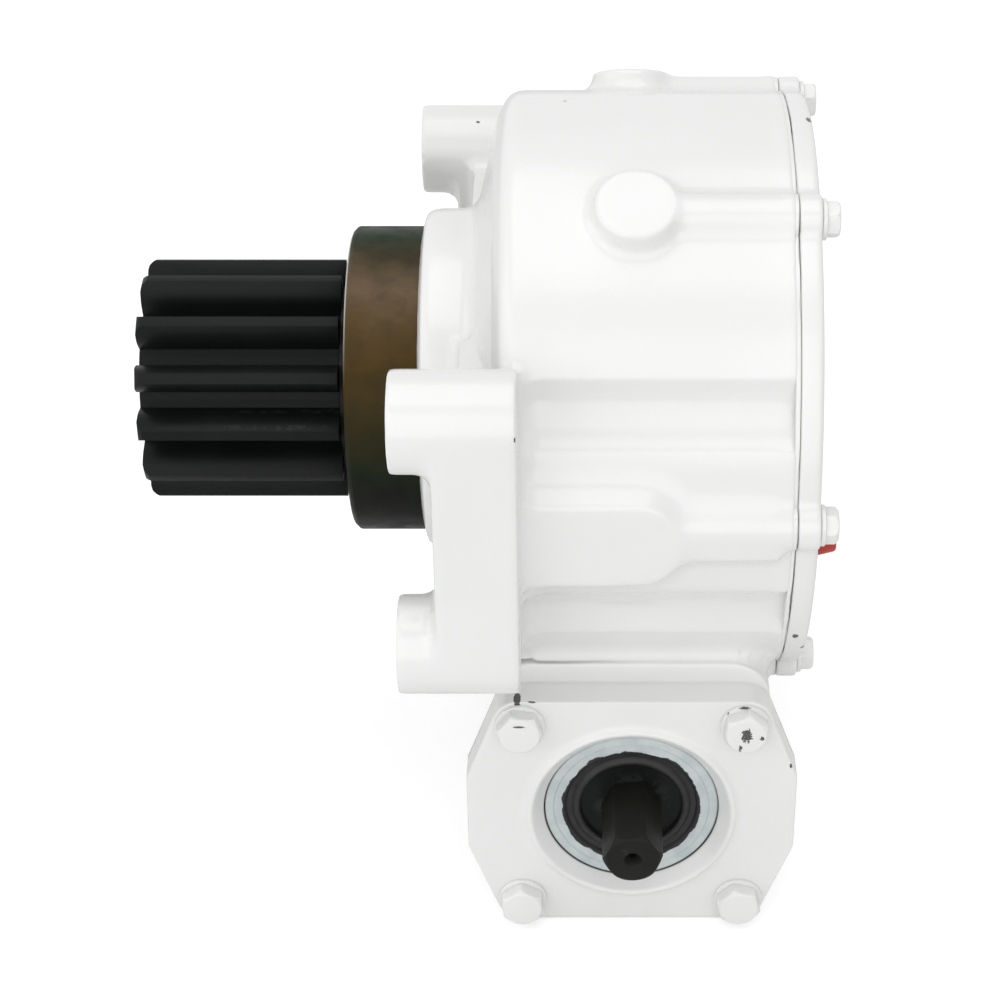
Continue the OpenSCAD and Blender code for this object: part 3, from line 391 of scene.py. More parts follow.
def make_corner_shade():
    """Painted shade in inner corners, broken into patches."""
    group, given, mask = new_effect("corner_shade", "Mask", Depth=0.46, Scale=60.0)
    point = group.nodes.new("ShaderNodeNewGeometry").outputs["Pointiness"]
    hollow = ramp_between(group, calc(group, "SUBTRACT", 1.0, point),
                          calc(group, "SUBTRACT", 1.0, given["Depth"]),
                          calc(group, "SUBTRACT", 1.1, given["Depth"]))
    patchy = ramp_between(group, noise(group, object_place(group), given["Scale"]), 0.35, 0.65)
    wire(group, calc(group, "MULTIPLY", hollow, patchy), mask)
    return group


def make_cast_skin():
    """Orange peel over slow waves, as paint on a sand casting."""
    group, given, height = new_effect("cast_skin", "Height", Peel_Scale=700.0, Peel=0.3, Wave_Scale=90.0,
                                      Wave=1.0)
    place = object_place(group)
    peel = calc(group, "MULTIPLY", noise(group, place, given["Peel Scale"], 2.0), given["Peel"])
    wave = calc(group, "MULTIPLY", noise(group, place, given["Wave Scale"], 2.0), given["Wave"])
    wire(group, calc(group, "ADD", peel, wave), height)
    return group


def make_paint_chip():
    """One chip in the paint: a ragged blot round a place on the part."""
    group, given, mask = new_effect("paint_chip", "Mask", Place=(0.0, 0.0, 0.0), Stretch=(1.0, 1.0, 1.0),
                                    Radius=0.003, Ragged=0.002, Grain=500.0)
    place = object_place(group)
    away = vector_calc(group, "MULTIPLY", vector_calc(group, "SUBTRACT", place, given["Place"]),
                       given["Stretch"])
    reach = calc(group, "ADD", vector_calc(group, "LENGTH", away),
                 wander(group, place, given["Ragged"], given["Grain"], 4.0))
    sharp = calc(group, "MULTIPLY", given["Radius"], 0.88)
    wire(group, fall_between(group, reach, sharp, given["Radius"]), mask)
    return group


def make_turning_marks():
    """Fine rings left by a lathe round the X axis, as a height."""
    group, given, height = new_effect("turning_marks", "Height", Scale=1500.0)
    place = object_place(group)
    join = group.nodes.new("ShaderNodeCombineXYZ")
    wire(group, parts_of(group, place)["X"], join.inputs["X"])
    across = vector_calc(group, "MULTIPLY", place, (0.0, 1.0, 1.0))
    wire(group, vector_calc(group, "LENGTH", across), join.inputs["Y"])
    wire(group, noise(group, join.outputs[0], given["Scale"], 2.0), height)
    return group


def make_joint_crack():
    """A broken dark hairline where the paint has parted over the cover's joint."""
    group, given, mask = new_effect("joint_crack", "Mask", Joint=JOINT_X, Width=0.00042)
    place = object_place(group)
    off = calc(group, "ADD", calc(group, "SUBTRACT", parts_of(group, place)["X"], given["Joint"]),
               wander(group, place, amount=0.0016, scale=70.0))
    open_part = ramp_between(group, noise(group, place, 22.0, 2.0), 0.45, 0.7)
    depth = calc(group, "ADD", calc(group, "MULTIPLY", open_part, 0.7), 0.12)
    wire(group, calc(group, "MULTIPLY", thin_line(group, off, given["Width"]), depth), mask)
    return group


def make_seal_gap_shade():
    """The dark line between the seal's case and its bore, with painted shade that is deepest at the lower
    left.
    """
    group, given, mask = new_effect("seal_gap_shade", "Mask", Centre=tuple(WORM_AXIS), Radius=0.0368,
                                    Width=0.0005)
    away = round_worm_axis(group, object_place(group), given["Centre"])
    off = calc(group, "SUBTRACT", vector_calc(group, "LENGTH", away), given["Radius"])
    lean = vector_calc(group, "DOT_PRODUCT", away, (-0.2, 0.0, -1.0))
    # Painted shade, deepest at the lower left
    low_side_shade = ramp_between(group, lean, -0.03, 0.012)
    depth = calc(group, "ADD", calc(group, "MULTIPLY", low_side_shade, 0.8), 0.12)
    wire(group, calc(group, "MULTIPLY", thin_line(group, off, given["Width"]), depth), mask)
    return group


def make_block_seam_shade():
    """The dark line of the painted-over seam where the top of the worm block runs under the drum, with
    painted shade that is deepest at its left, by the foot plate.
    """
    group, given, mask = new_effect("block_seam_shade", "Mask", Depth=-0.1021, Below=-0.0755, Width=0.0009)
    place = object_place(group)
    parts = parts_of(group, place)
    off = calc(group, "ADD", calc(group, "SUBTRACT", parts["Y"], given["Depth"]),
               wander(group, place, amount=0.0006, scale=60.0))
    line = calc(group, "MULTIPLY", thin_line(group, off, given["Width"], core=0.0),
                calc(group, "LESS_THAN", parts["Z"], given["Below"]))
    # Painted shade, deepest at the left by the foot plate
    left = fall_between(group, parts["X"], 0.048, 0.1)
    depth = calc(group, "ADD", calc(group, "MULTIPLY", left, 0.55), 0.12)
    wire(group, calc(group, "MULTIPLY", line, depth), mask)
    return group


tone_patches = make_tone_patches()
edge_wear = make_edge_wear()
corner_shade = make_corner_shade()
cast_skin = make_cast_skin()
paint_chip = make_paint_chip()
turning_marks = make_turning_marks()
joint_crack = make_joint_crack()
seal_gap_shade = make_seal_gap_shade()
block_seam_shade = make_block_seam_shade()


# Finishes
PAINT = (0.80, 0.806, 0.796, 1)
PAINT_SHADE = (0.75, 0.757, 0.742, 1)
# Darkest tone of the painted shade in inner corners
PAINT_CORNER_SHADE = (0.46, 0.46, 0.43, 1)
# Colour of chips and cracks in the paint, and of the painted shade lines
BARE_METAL_AND_SHADE = (0.055, 0.053, 0.05, 1)
PAINT_GLOSS = 0.8

# Oxide tints round the ring with painted light and shade, lightest above the front: tones by degrees from
# its top towards the front
RING_TINTS_AND_LIGHT = ((-150, (0.006, 0.006, 0.006, 1)), (-30, (0.007, 0.009, 0.007, 1)),
              (-4, (0.008, 0.019, 0.0075, 1)), (10, (0.046, 0.036, 0.019, 1)),
              (26, (0.135, 0.092, 0.056, 1)), (40, (0.09, 0.057, 0.024, 1)),
              (58, (0.064, 0.038, 0.010, 1)), (80, (0.031, 0.025, 0.009, 1)),
              (98, (0.012, 0.017, 0.009, 1)), (112, (0.008, 0.008, 0.007, 1)))
RING_STREAK = (0.012, 0.02, 0.013, 1)
# The ring's painted highlight along its front edge: its tone, its faded and full places along X, and its
# turns round the ring
RING_EDGE_HIGHLIGHT = (0.55, 0.55, 0.52, 1)
HIGHLIGHT_FADED, HIGHLIGHT_FULL = -23.1 * MM, -23.6 * MM
HIGHLIGHT_ENDS = (0.06, 0.19)

# White overspray on the seal: its tones, and its inner edge and front, faded and full
SPRAY_TONES = ((0.57, 0.62, 0.62, 1), (0.48, 0.535, 0.545, 1))
SPRAY_EDGE = (29.2 * MM, 29.6 * MM)
SPRAY_FRONT = (-111 * MM, -112.5 * MM)
SPRAY_ROUGH = 0.34


def new_finish(name, metallic, specular=0.5):
    material = bpy.data.materials.new(name)
    material.use_nodes = True
    shader = material.node_tree.nodes["Principled BSDF"]
    shader.inputs["Metallic"].default_value = metallic
    shader.inputs["Specular IOR Level"].default_value = specular
    return material, material.node_tree, shader.inputs


def add_bump(tree, sockets, height, strength, distance):
    bump = tree.nodes.new("ShaderNodeBump")
    bump.inputs["Strength"].default_value = strength
    bump.inputs["Distance"].default_value = distance
    wire(tree, height, bump.inputs["Height"])
    wire(tree, bump.outputs["Normal"], sockets["Normal"])


def spread_roughness(tree, sockets, mask, low, high):
    node = tree.nodes.new("ShaderNodeMapRange")
    wire(tree, mask, node.inputs["Value"])
    node.inputs["To Min"].default_value = low
    node.inputs["To Max"].default_value = high
    wire(tree, node.outputs[0], sockets["Roughness"])


def white_paint(name, chips=(), rough=(0.16, 0.26), worn=False, cracked=False, gap_shade=False, seam_shade=False):
    """Thick glossy white paint over a casting, with painted shade in its inner corners and, where asked,
    along the worm block's seam and round the seal; chips are (place, radius, ragged, grain, stretch).
    """
    material, tree, sockets = new_finish(name, 0.0, PAINT_GLOSS)
    patches = place_effect(tree, tone_patches, Scale=14.0, Low=0.3, High=0.75)
    # Painted shade in inner corners
    hollow_shade = place_effect(tree, corner_shade, Depth=0.47, Scale=70.0)
    dark_marks = 0.0
    if worn:
        wear = place_effect(tree, edge_wear, Edge=0.57, Break_Scale=260.0, Break=0.62)
        dark_marks = calc(tree, "MULTIPLY", wear, 0.8)
    for place, radius, ragged, grain, stretch in chips:
        chip = place_effect(tree, paint_chip, Place=tuple(Vector(place) * MM), Radius=radius * MM,
                            Ragged=ragged * MM, Grain=grain, Stretch=stretch)
        dark_marks = calc(tree, "MAXIMUM", dark_marks, chip)
    # Dark lines: paint cracks over joints, and the worm block's seam and the seal's bore with painted
    # shade
    for used, line in ((cracked, joint_crack), (seam_shade, block_seam_shade), (gap_shade, seal_gap_shade)):
        if used:
            dark_marks = calc(tree, "MAXIMUM", dark_marks, place_effect(tree, line))
    colour = blend_colour(tree, calc(tree, "MULTIPLY", patches, 0.5), PAINT, PAINT_SHADE)
    # Blend in the painted shade of inner corners
    colour = blend_colour(tree, calc(tree, "MULTIPLY", hollow_shade, 0.4), colour, PAINT_CORNER_SHADE)
    wire(tree, blend_colour(tree, dark_marks, colour, BARE_METAL_AND_SHADE), sockets["Base Color"])
    spread_roughness(tree, sockets, calc(tree, "MAXIMUM", patches, dark_marks), *rough)
    skin = place_effect(tree, cast_skin)
    add_bump(tree, sockets, calc(tree, "SUBTRACT", skin, dark_marks), strength=0.35, distance=0.25 * MM)
    return material


def worked_metal(name, colour, second, low_rough, high_rough, metallic=1.0, specular=0.5, scale=40.0,
                 edge_colour=None):
    """Metal with two tones and, where it has an edge colour, worn edges."""
    material, tree, sockets = new_finish(name, metallic, specular)
    patches = place_effect(tree, tone_patches, Scale=scale, Low=0.3, High=0.74)
    shade = blend_colour(tree, patches, colour, second)
    if edge_colour:
        worn = place_effect(tree, edge_wear, Edge=0.56, Break_Scale=220.0, Break=0.5)
        shade = blend_colour(tree, calc(tree, "MULTIPLY", worn, 0.5), shade, edge_colour)
    wire(tree, shade, sockets["Base Color"])
    spread_roughness(tree, sockets, patches, low_rough, high_rough)
    skin = place_effect(tree, cast_skin, Peel_Scale=1400.0, Peel=0.5, Wave_Scale=200.0, Wave=0.4)
    add_bump(tree, sockets, skin, strength=0.25, distance=0.1 * MM)
    return material


def blued_steel():
    """Pilot ring with oil bluing and painted light: brown above the front where the light falls, olive
    lower down, black-green in painted shade behind and below, and a painted highlight along its front
    edge.
    """
    material, tree, sockets = new_finish("blued_steel", 0.0, 0.05)
    place = object_place(tree)
    parts = parts_of(tree, place)
    front = calc(tree, "MULTIPLY", parts["Y"], -1.0)
    round_turn = calc(tree, "DIVIDE", calc(tree, "ARCTAN2", front, parts["Z"]), 2 * math.pi)
    drift = wander(tree, place, amount=0.07, scale=45.0, detail=4.0)
    # Oxide tints with painted light and shade round the ring
    ramp = tree.nodes.new("ShaderNodeValToRGB")
    wire(tree, calc(tree, "ADD", calc(tree, "ADD", round_turn, drift), 0.5), ramp.inputs[0])
    stops = ramp.color_ramp.elements
    stops[0].position, stops[0].color = 0.0, RING_TINTS_AND_LIGHT[0][1]
    stops[1].position, stops[1].color = 1.0, RING_TINTS_AND_LIGHT[0][1]
    for degrees, tone in RING_TINTS_AND_LIGHT:
        stops.new(0.5 + degrees / 360).color = tone
    streaks = place_effect(tree, tone_patches, Scale=110.0, Low=0.35, High=0.75)
    tints_and_light = blend_colour(tree, calc(tree, "MULTIPLY", streaks, 0.3), ramp.outputs[0], RING_STREAK)
    # Painted highlight along the ring's upper front edge
    edge_highlight = calc(tree, "MULTIPLY", ramp_between(tree, parts["X"], HIGHLIGHT_FADED, HIGHLIGHT_FULL),
               fall_between(tree, round_turn, *HIGHLIGHT_ENDS))
    wire(tree, blend_colour(tree, edge_highlight, tints_and_light, RING_EDGE_HIGHLIGHT), sockets["Base Color"])
    spread_roughness(tree, sockets, streaks, 0.34, 0.5)
    add_bump(tree, sockets, place_effect(tree, turning_marks), strength=0.3, distance=0.1 * MM)
    return material


def masked_seal(name, inner, inner_rough):
    """A shaft seal with white overspray round it, cut to a ragged line by the painter's mask."""
    material, tree, sockets = new_finish(name, 0.0)
    place = object_place(tree)
    ragged = wander(tree, place, amount=4.5 * MM, scale=130.0, detail=5.0)
    away = round_worm_axis(tree, place, tuple(WORM_AXIS))
    radius = calc(tree, "ADD", vector_calc(tree, "LENGTH", away), ragged)
    sprayed = calc(tree, "MULTIPLY", ramp_between(tree, radius, *SPRAY_EDGE),
                   ramp_between(tree, parts_of(tree, place)["Y"], *SPRAY_FRONT))
    patches = place_effect(tree, tone_patches, Scale=120.0, Low=0.35, High=0.7)
    dark = blend_colour(tree, patches, inner, tuple(1.9 * part for part in inner[:3]) + (1,))
    shown = blend_colour(tree, sprayed, dark, blend_colour(tree, patches, *SPRAY_TONES))
    # Dark line round the seal's case, with painted shade at its lower left
    seal_line_and_shade = place_effect(tree, seal_gap_shade)
    wire(tree, blend_colour(tree, seal_line_and_shade, shown, BARE_METAL_AND_SHADE), sockets["Base Color"])
    spread_roughness(tree, sockets, sprayed, inner_rough, SPRAY_ROUGH)
    skin = place_effect(tree, cast_skin, Peel_Scale=900.0, Peel=0.6, Wave_Scale=180.0, Wave=0.6)
    add_bump(tree, sockets, calc(tree, "ADD", skin, sprayed), strength=0.4, distance=0.2 * MM)
    return material


def moulded(name, colour, second, rough):
    """Moulded rubber or plastic in two close tones."""
    material, tree, sockets = new_finish(name, 0.0)
    patches = place_effect(tree, tone_patches, Scale=90.0, Low=0.35, High=0.7)
    wire(tree, blend_colour(tree, patches, colour, second), sockets["Base Color"])
    spread_roughness(tree, sockets, patches, rough, rough + 0.12)
    skin = place_effect(tree, cast_skin, Peel_Scale=1800.0, Peel=0.6, Wave=0.3)
    add_bump(tree, sockets, skin, strength=0.3, distance=0.1 * MM)
    return material


# Castings
BOSS_X, BOSS_R, BOSS_TOP = 94 * MM, 16.7 * MM, 130.23 * MM
DRUM_BASE = 108 * MM
FOOT_PLATE_BACK = 47.5 * MM
PORT_CLEAR = 13 * MM

# Fillets at the root of the foot plates: a slice of the drum between two heights, moved forward and
# laid down twice, each with its length along X and its growth
ROOT_START, ROOT_SLICE, ROOT_LOW, ROOT_HIGH = 46 * MM, 56 * MM, -71 * MM, 57 * MM
ROOT_BANDS = ((4.5 * MM, 1.034), (7 * MM, 1.016))

# Tapered ribs behind the bosses: turns round the drum, ends along X, half widths, base and tops
TAPER_ANGLES = (-90, -30, 30, 90)
TAPER_START, TAPER_END = BOSS_X + 6 * MM, BOSS_X + 30 * MM
TAPER_HALF, TAPER_END_HALF = 15.2 * MM, 7.4 * MM
TAPER_BASE, TAPER_TOP, TAPER_END_TOP = DRUM_BASE + 2 * MM, 129.4 * MM, 123.5 * MM

# The front boss stands a little lower than the far one, on a broad foot, with its rib lower still
PAD_ANGLE = 91.8
PAD_STEPS = ((18.9 * MM, BOSS_TOP), (22 * MM, 124 * MM))
RIB_ANGLE, RIB_HALF, RIB_END_HALF, RIB_TOP, RIB_END = 93, 8 * MM, 6 * MM, 127.5 * MM, 150 * MM

# Cast skins: voxel, fillet, smoothing passes and most triangles
CASING_SKIN = (1.3 * MM, 3 * MM, 6, 180000)
COVER_SKIN = (1.1 * MM, 1.6 * MM, 4, 90000)
PLATE_SKIN = (0.9 * MM, 1.2 * MM, 4, 110000)
# The front side is softer: corners of its box, which is open towards the camera, and passes
SOFT_SIDE = ((51 * MM, -1, -42 * MM), (149 * MM, -88 * MM, 48 * MM), 26)

# The growth along each axis of a gasket or a shim by the paint in its joint's groove
GASKET_SWELL = (2.1, 0.9972, 0.9972)
SHIM_SWELL = (0.9975, 7, 0.9975)


def tapered_block(x0, x1, half_start, half_end, low, high, high_end, angle):
    """A block along X on the drum, standing at an angle round it, its far end another width and height."""
    deselect_all()
    bpy.ops.mesh.primitive_cube_add(size=1, location=((x0 + x1) / 2, 0, (low + high) / 2))
    piece = bpy.context.object
    piece.scale = (x1 - x0, 2 * half_start, high - low)
    settle(piece)
    for face in piece.data.polygons:
        face.select = face.normal.x > 0.9
    pick(piece)
    bpy.ops.object.mode_set(mode="EDIT")
    bpy.ops.transform.resize(value=(1, half_end / half_start, (high_end - low) / (high - low)),
                             center_override=(x1, 0, low))
    leave_edit()
    piece.rotation_euler = (math.radians(angle), 0, 0)
    return settle(piece)


def straight_block(x0, x1, half, low, high, angle):
    return tapered_block(x0, x1, half, half, low, high, high, angle)


def round_pad(x, radius, low, high, angle):
    """A round pad on the drum, standing at an angle round it."""
    piece = turned_plug("round_pad", [(low, radius), (high, radius)], "+Z", (x, 0, 0))
    piece.rotation_euler = (math.radians(angle), 0, 0)
    return settle(piece)


def root_band(length, growth):
    """A slice of the drum, moved to the root of the foot plates and grown outwards."""
    band = merged_copy("main_casing", "root_band")
    edit_all(band)
    for place, way in (((ROOT_SLICE, 0, 0), (-1, 0, 0)), ((ROOT_SLICE + length, 0, 0), (1, 0, 0)),
                       ((0, 0, ROOT_LOW), (0, 0, -1)), ((0, 0, ROOT_HIGH), (0, 0, 1))):
        bpy.ops.mesh.select_all(action="SELECT")
        bpy.ops.mesh.bisect(plane_co=place, plane_no=way, use_fill=True, clear_outer=True)
    bpy.ops.mesh.select_all(action="SELECT")
    bpy.ops.transform.resize(value=(1, growth, growth), center_override=(0, 0, 0))
    bpy.ops.transform.translate(value=(ROOT_START - ROOT_SLICE, 0, 0))
    leave_edit()
    return band


def make_drum_casing():
    extras = [root_band(length, growth) for length, growth in ROOT_BANDS]
    for angle in TAPER_ANGLES:
        extras.append(tapered_block(TAPER_START, TAPER_END, TAPER_HALF, TAPER_END_HALF, TAPER_BASE,
                                    TAPER_TOP, TAPER_END_TOP, angle))
    extras.append(straight_block(FOOT_PLATE_BACK, BOSS_X - PORT_CLEAR, BOSS_R, DRUM_BASE, BOSS_TOP, -90))
    for half, top in PAD_STEPS:
        extras.append(straight_block(FOOT_PLATE_BACK, BOSS_X, half, DRUM_BASE, top, PAD_ANGLE))
        extras.append(round_pad(BOSS_X, half, DRUM_BASE, top, PAD_ANGLE))
    extras.append(tapered_block(BOSS_X + BOSS_R, RIB_END, RIB_HALF, RIB_END_HALF, DRUM_BASE, RIB_TOP,
                                RIB_TOP, RIB_ANGLE))
    casing = join_pieces("drum_casing", [merged_copy("main_casing", "drum_casing")] + extras)
    return cast_rounding(casing, *CASING_SKIN, soft_box=SOFT_SIDE)


def make_drum_cover():
    return cast_rounding(merged_copy("casing_cover", "drum_cover"), *COVER_SKIN)


def make_end_plate(node, name):
    return cast_rounding(merged_copy(node, name), *PLATE_SKIN)


def painted_joint(node, name, swell, centre):
    """A gasket or shim together with the paint that fills the groove of its joint."""
    bead = merged_copy(node, name)
    edit_all(bead)
    bpy.ops.transform.resize(value=swell, center_override=centre)
    leave_edit()
    return smooth_by_angle(bead)


def make_gasket_bead():
    return painted_joint("cover_gasket", "gasket_bead", GASKET_SWELL, (JOINT_X, 0, 0))


def make_seam_bead(node, name, side):
    return painted_joint(node, name, SHIM_SWELL, (WORM_AXIS.x, side * BLOCK_END, WORM_AXIS.z))


# Fasteners
# Bolts: across flats, head, shank radius, length and crown; washers: outer radius, hole and thickness
COVER_BOLT = (13 * MM, 5.3 * MM, 4 * MM, 31.5 * MM, 1.5 * MM)
COVER_WASHER = (8.2 * MM, 4.5 * MM, 1.8 * MM)
END_BOLT = (17 * MM, 6.4 * MM, 5 * MM, 35.5 * MM, 2 * MM)
END_WASHER = (10.3 * MM, 5.5 * MM, 2 * MM)
CROWN_SHARE = 0.94
TIP_SHARE = 0.86

# Where each bolt stopped turning: on the cover the first and the step to the next, in radians, and on
# the end plates each, in degrees
COVER_BOLT_TURN, COVER_BOLT_STEP = 0.4, 1.7
END_BOLT_TURNS = (22, -8, 4, 15)


def make_hex_bolt(name, across_flats, head, shank, length, crown):
    """Hex bolt along +Z, seated at zero: a six-sided prism, its corners cut by a cone, on a shank."""
    corner = across_flats / 2 / math.cos(math.radians(30))
    deselect_all()
    bpy.ops.mesh.primitive_cylinder_add(vertices=6, radius=corner, depth=head, location=(0, 0, head / 2))
    prism = bpy.context.object
    cone = turned_plug(name + "_cone", [(-1 * MM, corner + 1 * MM), (head - crown, corner + 0.05 * MM),
                                        (head, across_flats / 2 * CROWN_SHARE)], "+Z", (0, 0, 0))
    cut_with(prism, cone, "INTERSECT")
    settle(prism)
    rod = turned_plug(name + "_shank", [(-length, shank * TIP_SHARE), (-length + 1 * MM, shank),
                                        (0.5 * MM, shank)], "+Z", (0, 0, 0), 32)
    round_edges(prism, 0.35 * MM, 3)
    return smooth_by_angle(join_pieces(name, [prism, rod]))


def make_washer(name, outer, hole, thick):
    edge = 0.3 * MM
    piece = turned_ring(name, [(0, hole), (0, outer - edge), (edge, outer), (thick - edge, outer),
                               (thick, outer - edge), (thick, hole)], "+Z", (0, 0, 0), 64)
    return smooth_by_angle(piece)


def cover_bolt_places():
    out = Matrix.Rotation(math.radians(90), 4, "Y")
    places = []
    for number in range(6):
        angle = math.radians(60 * number + 30)
        move = Matrix.Translation((COVER_FACE_X, -COVER_BOLT_R * math.sin(angle),
                                   COVER_BOLT_R * math.cos(angle)))
        turn = COVER_BOLT_TURN + COVER_BOLT_STEP * number
        places.append((move, out, Matrix.Rotation(turn, 4, "Z")))
    return places


def end_bolt_places(side):
    """Places on the near (-1) or far (+1) end plate."""
    out = Matrix.Rotation(math.radians(-90 * side), 4, "X")
    places = []
    for (across, up), turn in zip(((-1, 1), (1, 1), (-1, -1), (1, -1)), END_BOLT_TURNS):
        move = Matrix.Translation(WORM_AXIS + Vector((across * END_BOLT_HALF, side * WORM_FACE,
                                                      up * END_BOLT_HALF)))
        places.append((move, out, Matrix.Rotation(math.radians(turn), 4, "Z")))
    return places


def set_of(maker, name, sizes, places, lift):
    """One object of bolts or washers, lifted off their seats."""
    piece = maker(name, *sizes)
    raise_up = Matrix.Translation((0, 0, lift))
    return copies_at(name, piece, [move @ out @ turn @ raise_up for move, out, turn in places])


# Seals, ring, shafts and plugs
SEAL_FACE = WORM_AXIS + Vector((0, -WORM_FACE, 0))
HEX_START = 111 * MM
HEX_TIP = 149 * MM
HEX_FLATS = 22.2 * MM
HEX_TURN = 5


def in_mm(*points):
    """A profile given in millimetres, in metres."""
    return [(place * MM, radius * MM) for place, radius in points]


def make_pilot_ring():
    face, back, outer, inner = -24, 6.5, 65, 60
    profile = in_mm((face, inner), (face, outer - 2.7), (face + 0.35, outer - 1.9),
                    (face + 1.9, outer - 0.35), (face + 2.7, outer), (back - 0.4, outer),
                    (back, outer - 0.4), (back, inner))
    return smooth_by_angle(turned_ring("pilot_sleeve", profile, "+X", (0, 0, 0), 192))


def make_seal_case():
    """Pressed steel case with the small steps of its rim, open to the back."""
    profile = in_mm((-4.4, 36.75), (-14.2, 36.75), (-14.2, 35.2), (-5.8, 35.2), (-5.8, 29.7), (-4.3, 29.7),
                    (-4.3, 32.6), (-3.8, 33.2), (-3.8, 35.4), (-3.95, 36.2))
    return smooth_by_angle(turned_ring("seal_case", profile, "-Y", SEAL_FACE, 160))


def make_seal_lip():
    """Rubber inside the case, stepping down to the lip on the shaft."""
    profile = in_mm((-4.2, 29.7), (-4, 29.1), (-4.5, 28.2), (-5.7, 27.4), (-5.9, 25.2), (-4.7, 24.1),
                    (-4.3, 22.9), (-4.8, 21.9), (-5.6, 21.66), (-11.6, 21.66), (-13.2, 23.2),
                    (-7.3, 23.3), (-7.2, 28), (-5.7, 29.7))
    return smooth_by_angle(turned_ring("seal_lip", profile, "-Y", SEAL_FACE, 160), 50)


def make_shaft_pinion():
    return round_edges(merged_copy("output_shaft", "pinion_shaft"), 0.5 * MM, 2)


def make_worm_body():
    """The worm shaft behind the seal, parted from its hex end."""
    piece = merged_copy("worm_shaft", "worm_thread_shaft")
    edit_all(piece)
    bpy.ops.mesh.bisect(plane_co=(0, -HEX_START, 0), plane_no=(0, -1, 0), use_fill=True, clear_outer=True)
    leave_edit()
    return smooth_by_angle(piece)


def make_hex_end():
    """Hex drive end with a chamfered nose and a drilled centre."""
    corner = HEX_FLATS / 2 / math.cos(math.radians(30))
    length = HEX_TIP - HEX_START + 0.2 * MM
    deselect_all()
    bpy.ops.mesh.primitive_cylinder_add(vertices=6, radius=corner, depth=length,
                                        location=(0, 0, HEX_TIP - length / 2),
                                        rotation=(0, 0, math.radians(30 + HEX_TURN)))
    piece = settle(bpy.context.object)
    piece.name = "hex_drive_end"
    nose = turned_plug("nose_cone", [(HEX_START - 5 * MM, corner - 0.25 * MM),
                                     (HEX_TIP - 2.4 * MM, corner - 0.25 * MM),
                                     (HEX_TIP - 1.1 * MM, corner - 1.1 * MM),
                                     (HEX_TIP - 0.3 * MM, corner - 1.9 * MM),
                                     (HEX_TIP, corner - 2.4 * MM)], "+Z", (0, 0, 0))
    drill = turned_plug("centre_drill", [(HEX_TIP - 11 * MM, 0.3 * MM), (HEX_TIP - 10 * MM, 1.6 * MM),
                                         (HEX_TIP - 3.6 * MM, 1.6 * MM), (HEX_TIP - 0.4 * MM, 3.5 * MM),
                                         (HEX_TIP + 1 * MM, 4.6 * MM)], "+Z", (0, 0, 0), 48)
    cut_with(piece, nose, "INTERSECT")
    cut_with(piece, drill, "DIFFERENCE")
    round_edges(piece, 0.5 * MM, 3)
    piece.rotation_euler = (math.pi / 2, 0, 0)
    piece.location = (WORM_AXIS.x, 0, WORM_AXIS.z)
    return settle(piece)


def make_vent_plug():
    profile = in_mm((-9, 3.6), (-8, 4), (0, 4), (0, 5), (0.5, 5.4), (7.7, 3.7), (8.4, 3.2), (8.6, 2.5))
    return smooth_by_angle(turned_plug("vent_plug", profile, "+X", VENT_PLACE, 64), 40)


# Finishes of this reducer
# Marks in the paint, in millimetres: place, radius, raggedness, grain of the rag, stretch
# A dark wedge in the corner where the foot plate meets the worm block, drawn like a chip
WEDGE_MARK = ((46.4, -115.5, -86.2), 2.7, 2.6, 1500, (1.7, 0.6, 0.75))
CASING_MARKS = (
    WEDGE_MARK,
    ((48.1, -145.4, 54.1), 0.7, 1, 2500, (1, 1, 0.6)),
    ((25.8, 116.9, 68.4), 0.7, 1.2, 2500, (0.7, 1, 1)),
    ((66.1, 14.4, 121.1), 0.5, 0.8, 2500, (0.6, 1, 1)))
COVER_MARKS = (
    ((164.5, 50, 113.2), 1.8, 3.2, 2000, (0.7, 0.7, 1)),
    ((164.2, -6, 121.6), 1.2, 2.4, 2000, (1, 0.6, 1)),
    ((160.2, -104.8, -62.4), 1.2, 2.6, 2000, (1, 1, 0.5)),
    ((164.5, -97, -74), 1.2, 2.6, 2000, (1, 1, 0.6)))
PLATE_MARKS = (
    WEDGE_MARK,
    ((52.5, -117.6, -86.6), 0.6, 1.2, 2000, (0.3, 1, 1.6)),
    ((160.3, -117.8, -119.4), 0.7, 1.2, 2500, (1.2, 1, 0.6)))
BOLT_MARKS = (
    ((47.3, -126.4, -92.8), 0.8, 1.3, 2000, (0.3, 1, 1.5)),
    ((140.6, -126.4, -97.2), 2.4, 5.2, 1100, (1.1, 1, 0.7)),
    ((138.2, -126.4, -103.6), 0.9, 2.4, 1800, (1.2, 1, 0.6)),
    ((147, -126.4, -98.6), 0.9, 2.4, 1800, (0.9, 1, 1)),
    ((139.6, -120, -87.8), 0.9, 1.8, 2000, (0.35, 1, 1.2)),
    ((132.6, -119.6, -90), 1, 2, 2000, (1, 1, 0.7)))

casing_paint = white_paint("casing_paint", CASING_MARKS, worn=True, cracked=True, seam_shade=True)
cover_paint = white_paint("cover_paint", COVER_MARKS, worn=True, cracked=True)
plate_paint = white_paint("plate_paint", PLATE_MARKS, rough=(0.245, 0.26), gap_shade=True)
bolt_paint = white_paint("bolt_paint", BOLT_MARKS, rough=(0.29, 0.31))
joint_paint = white_paint("joint_paint", cracked=True)

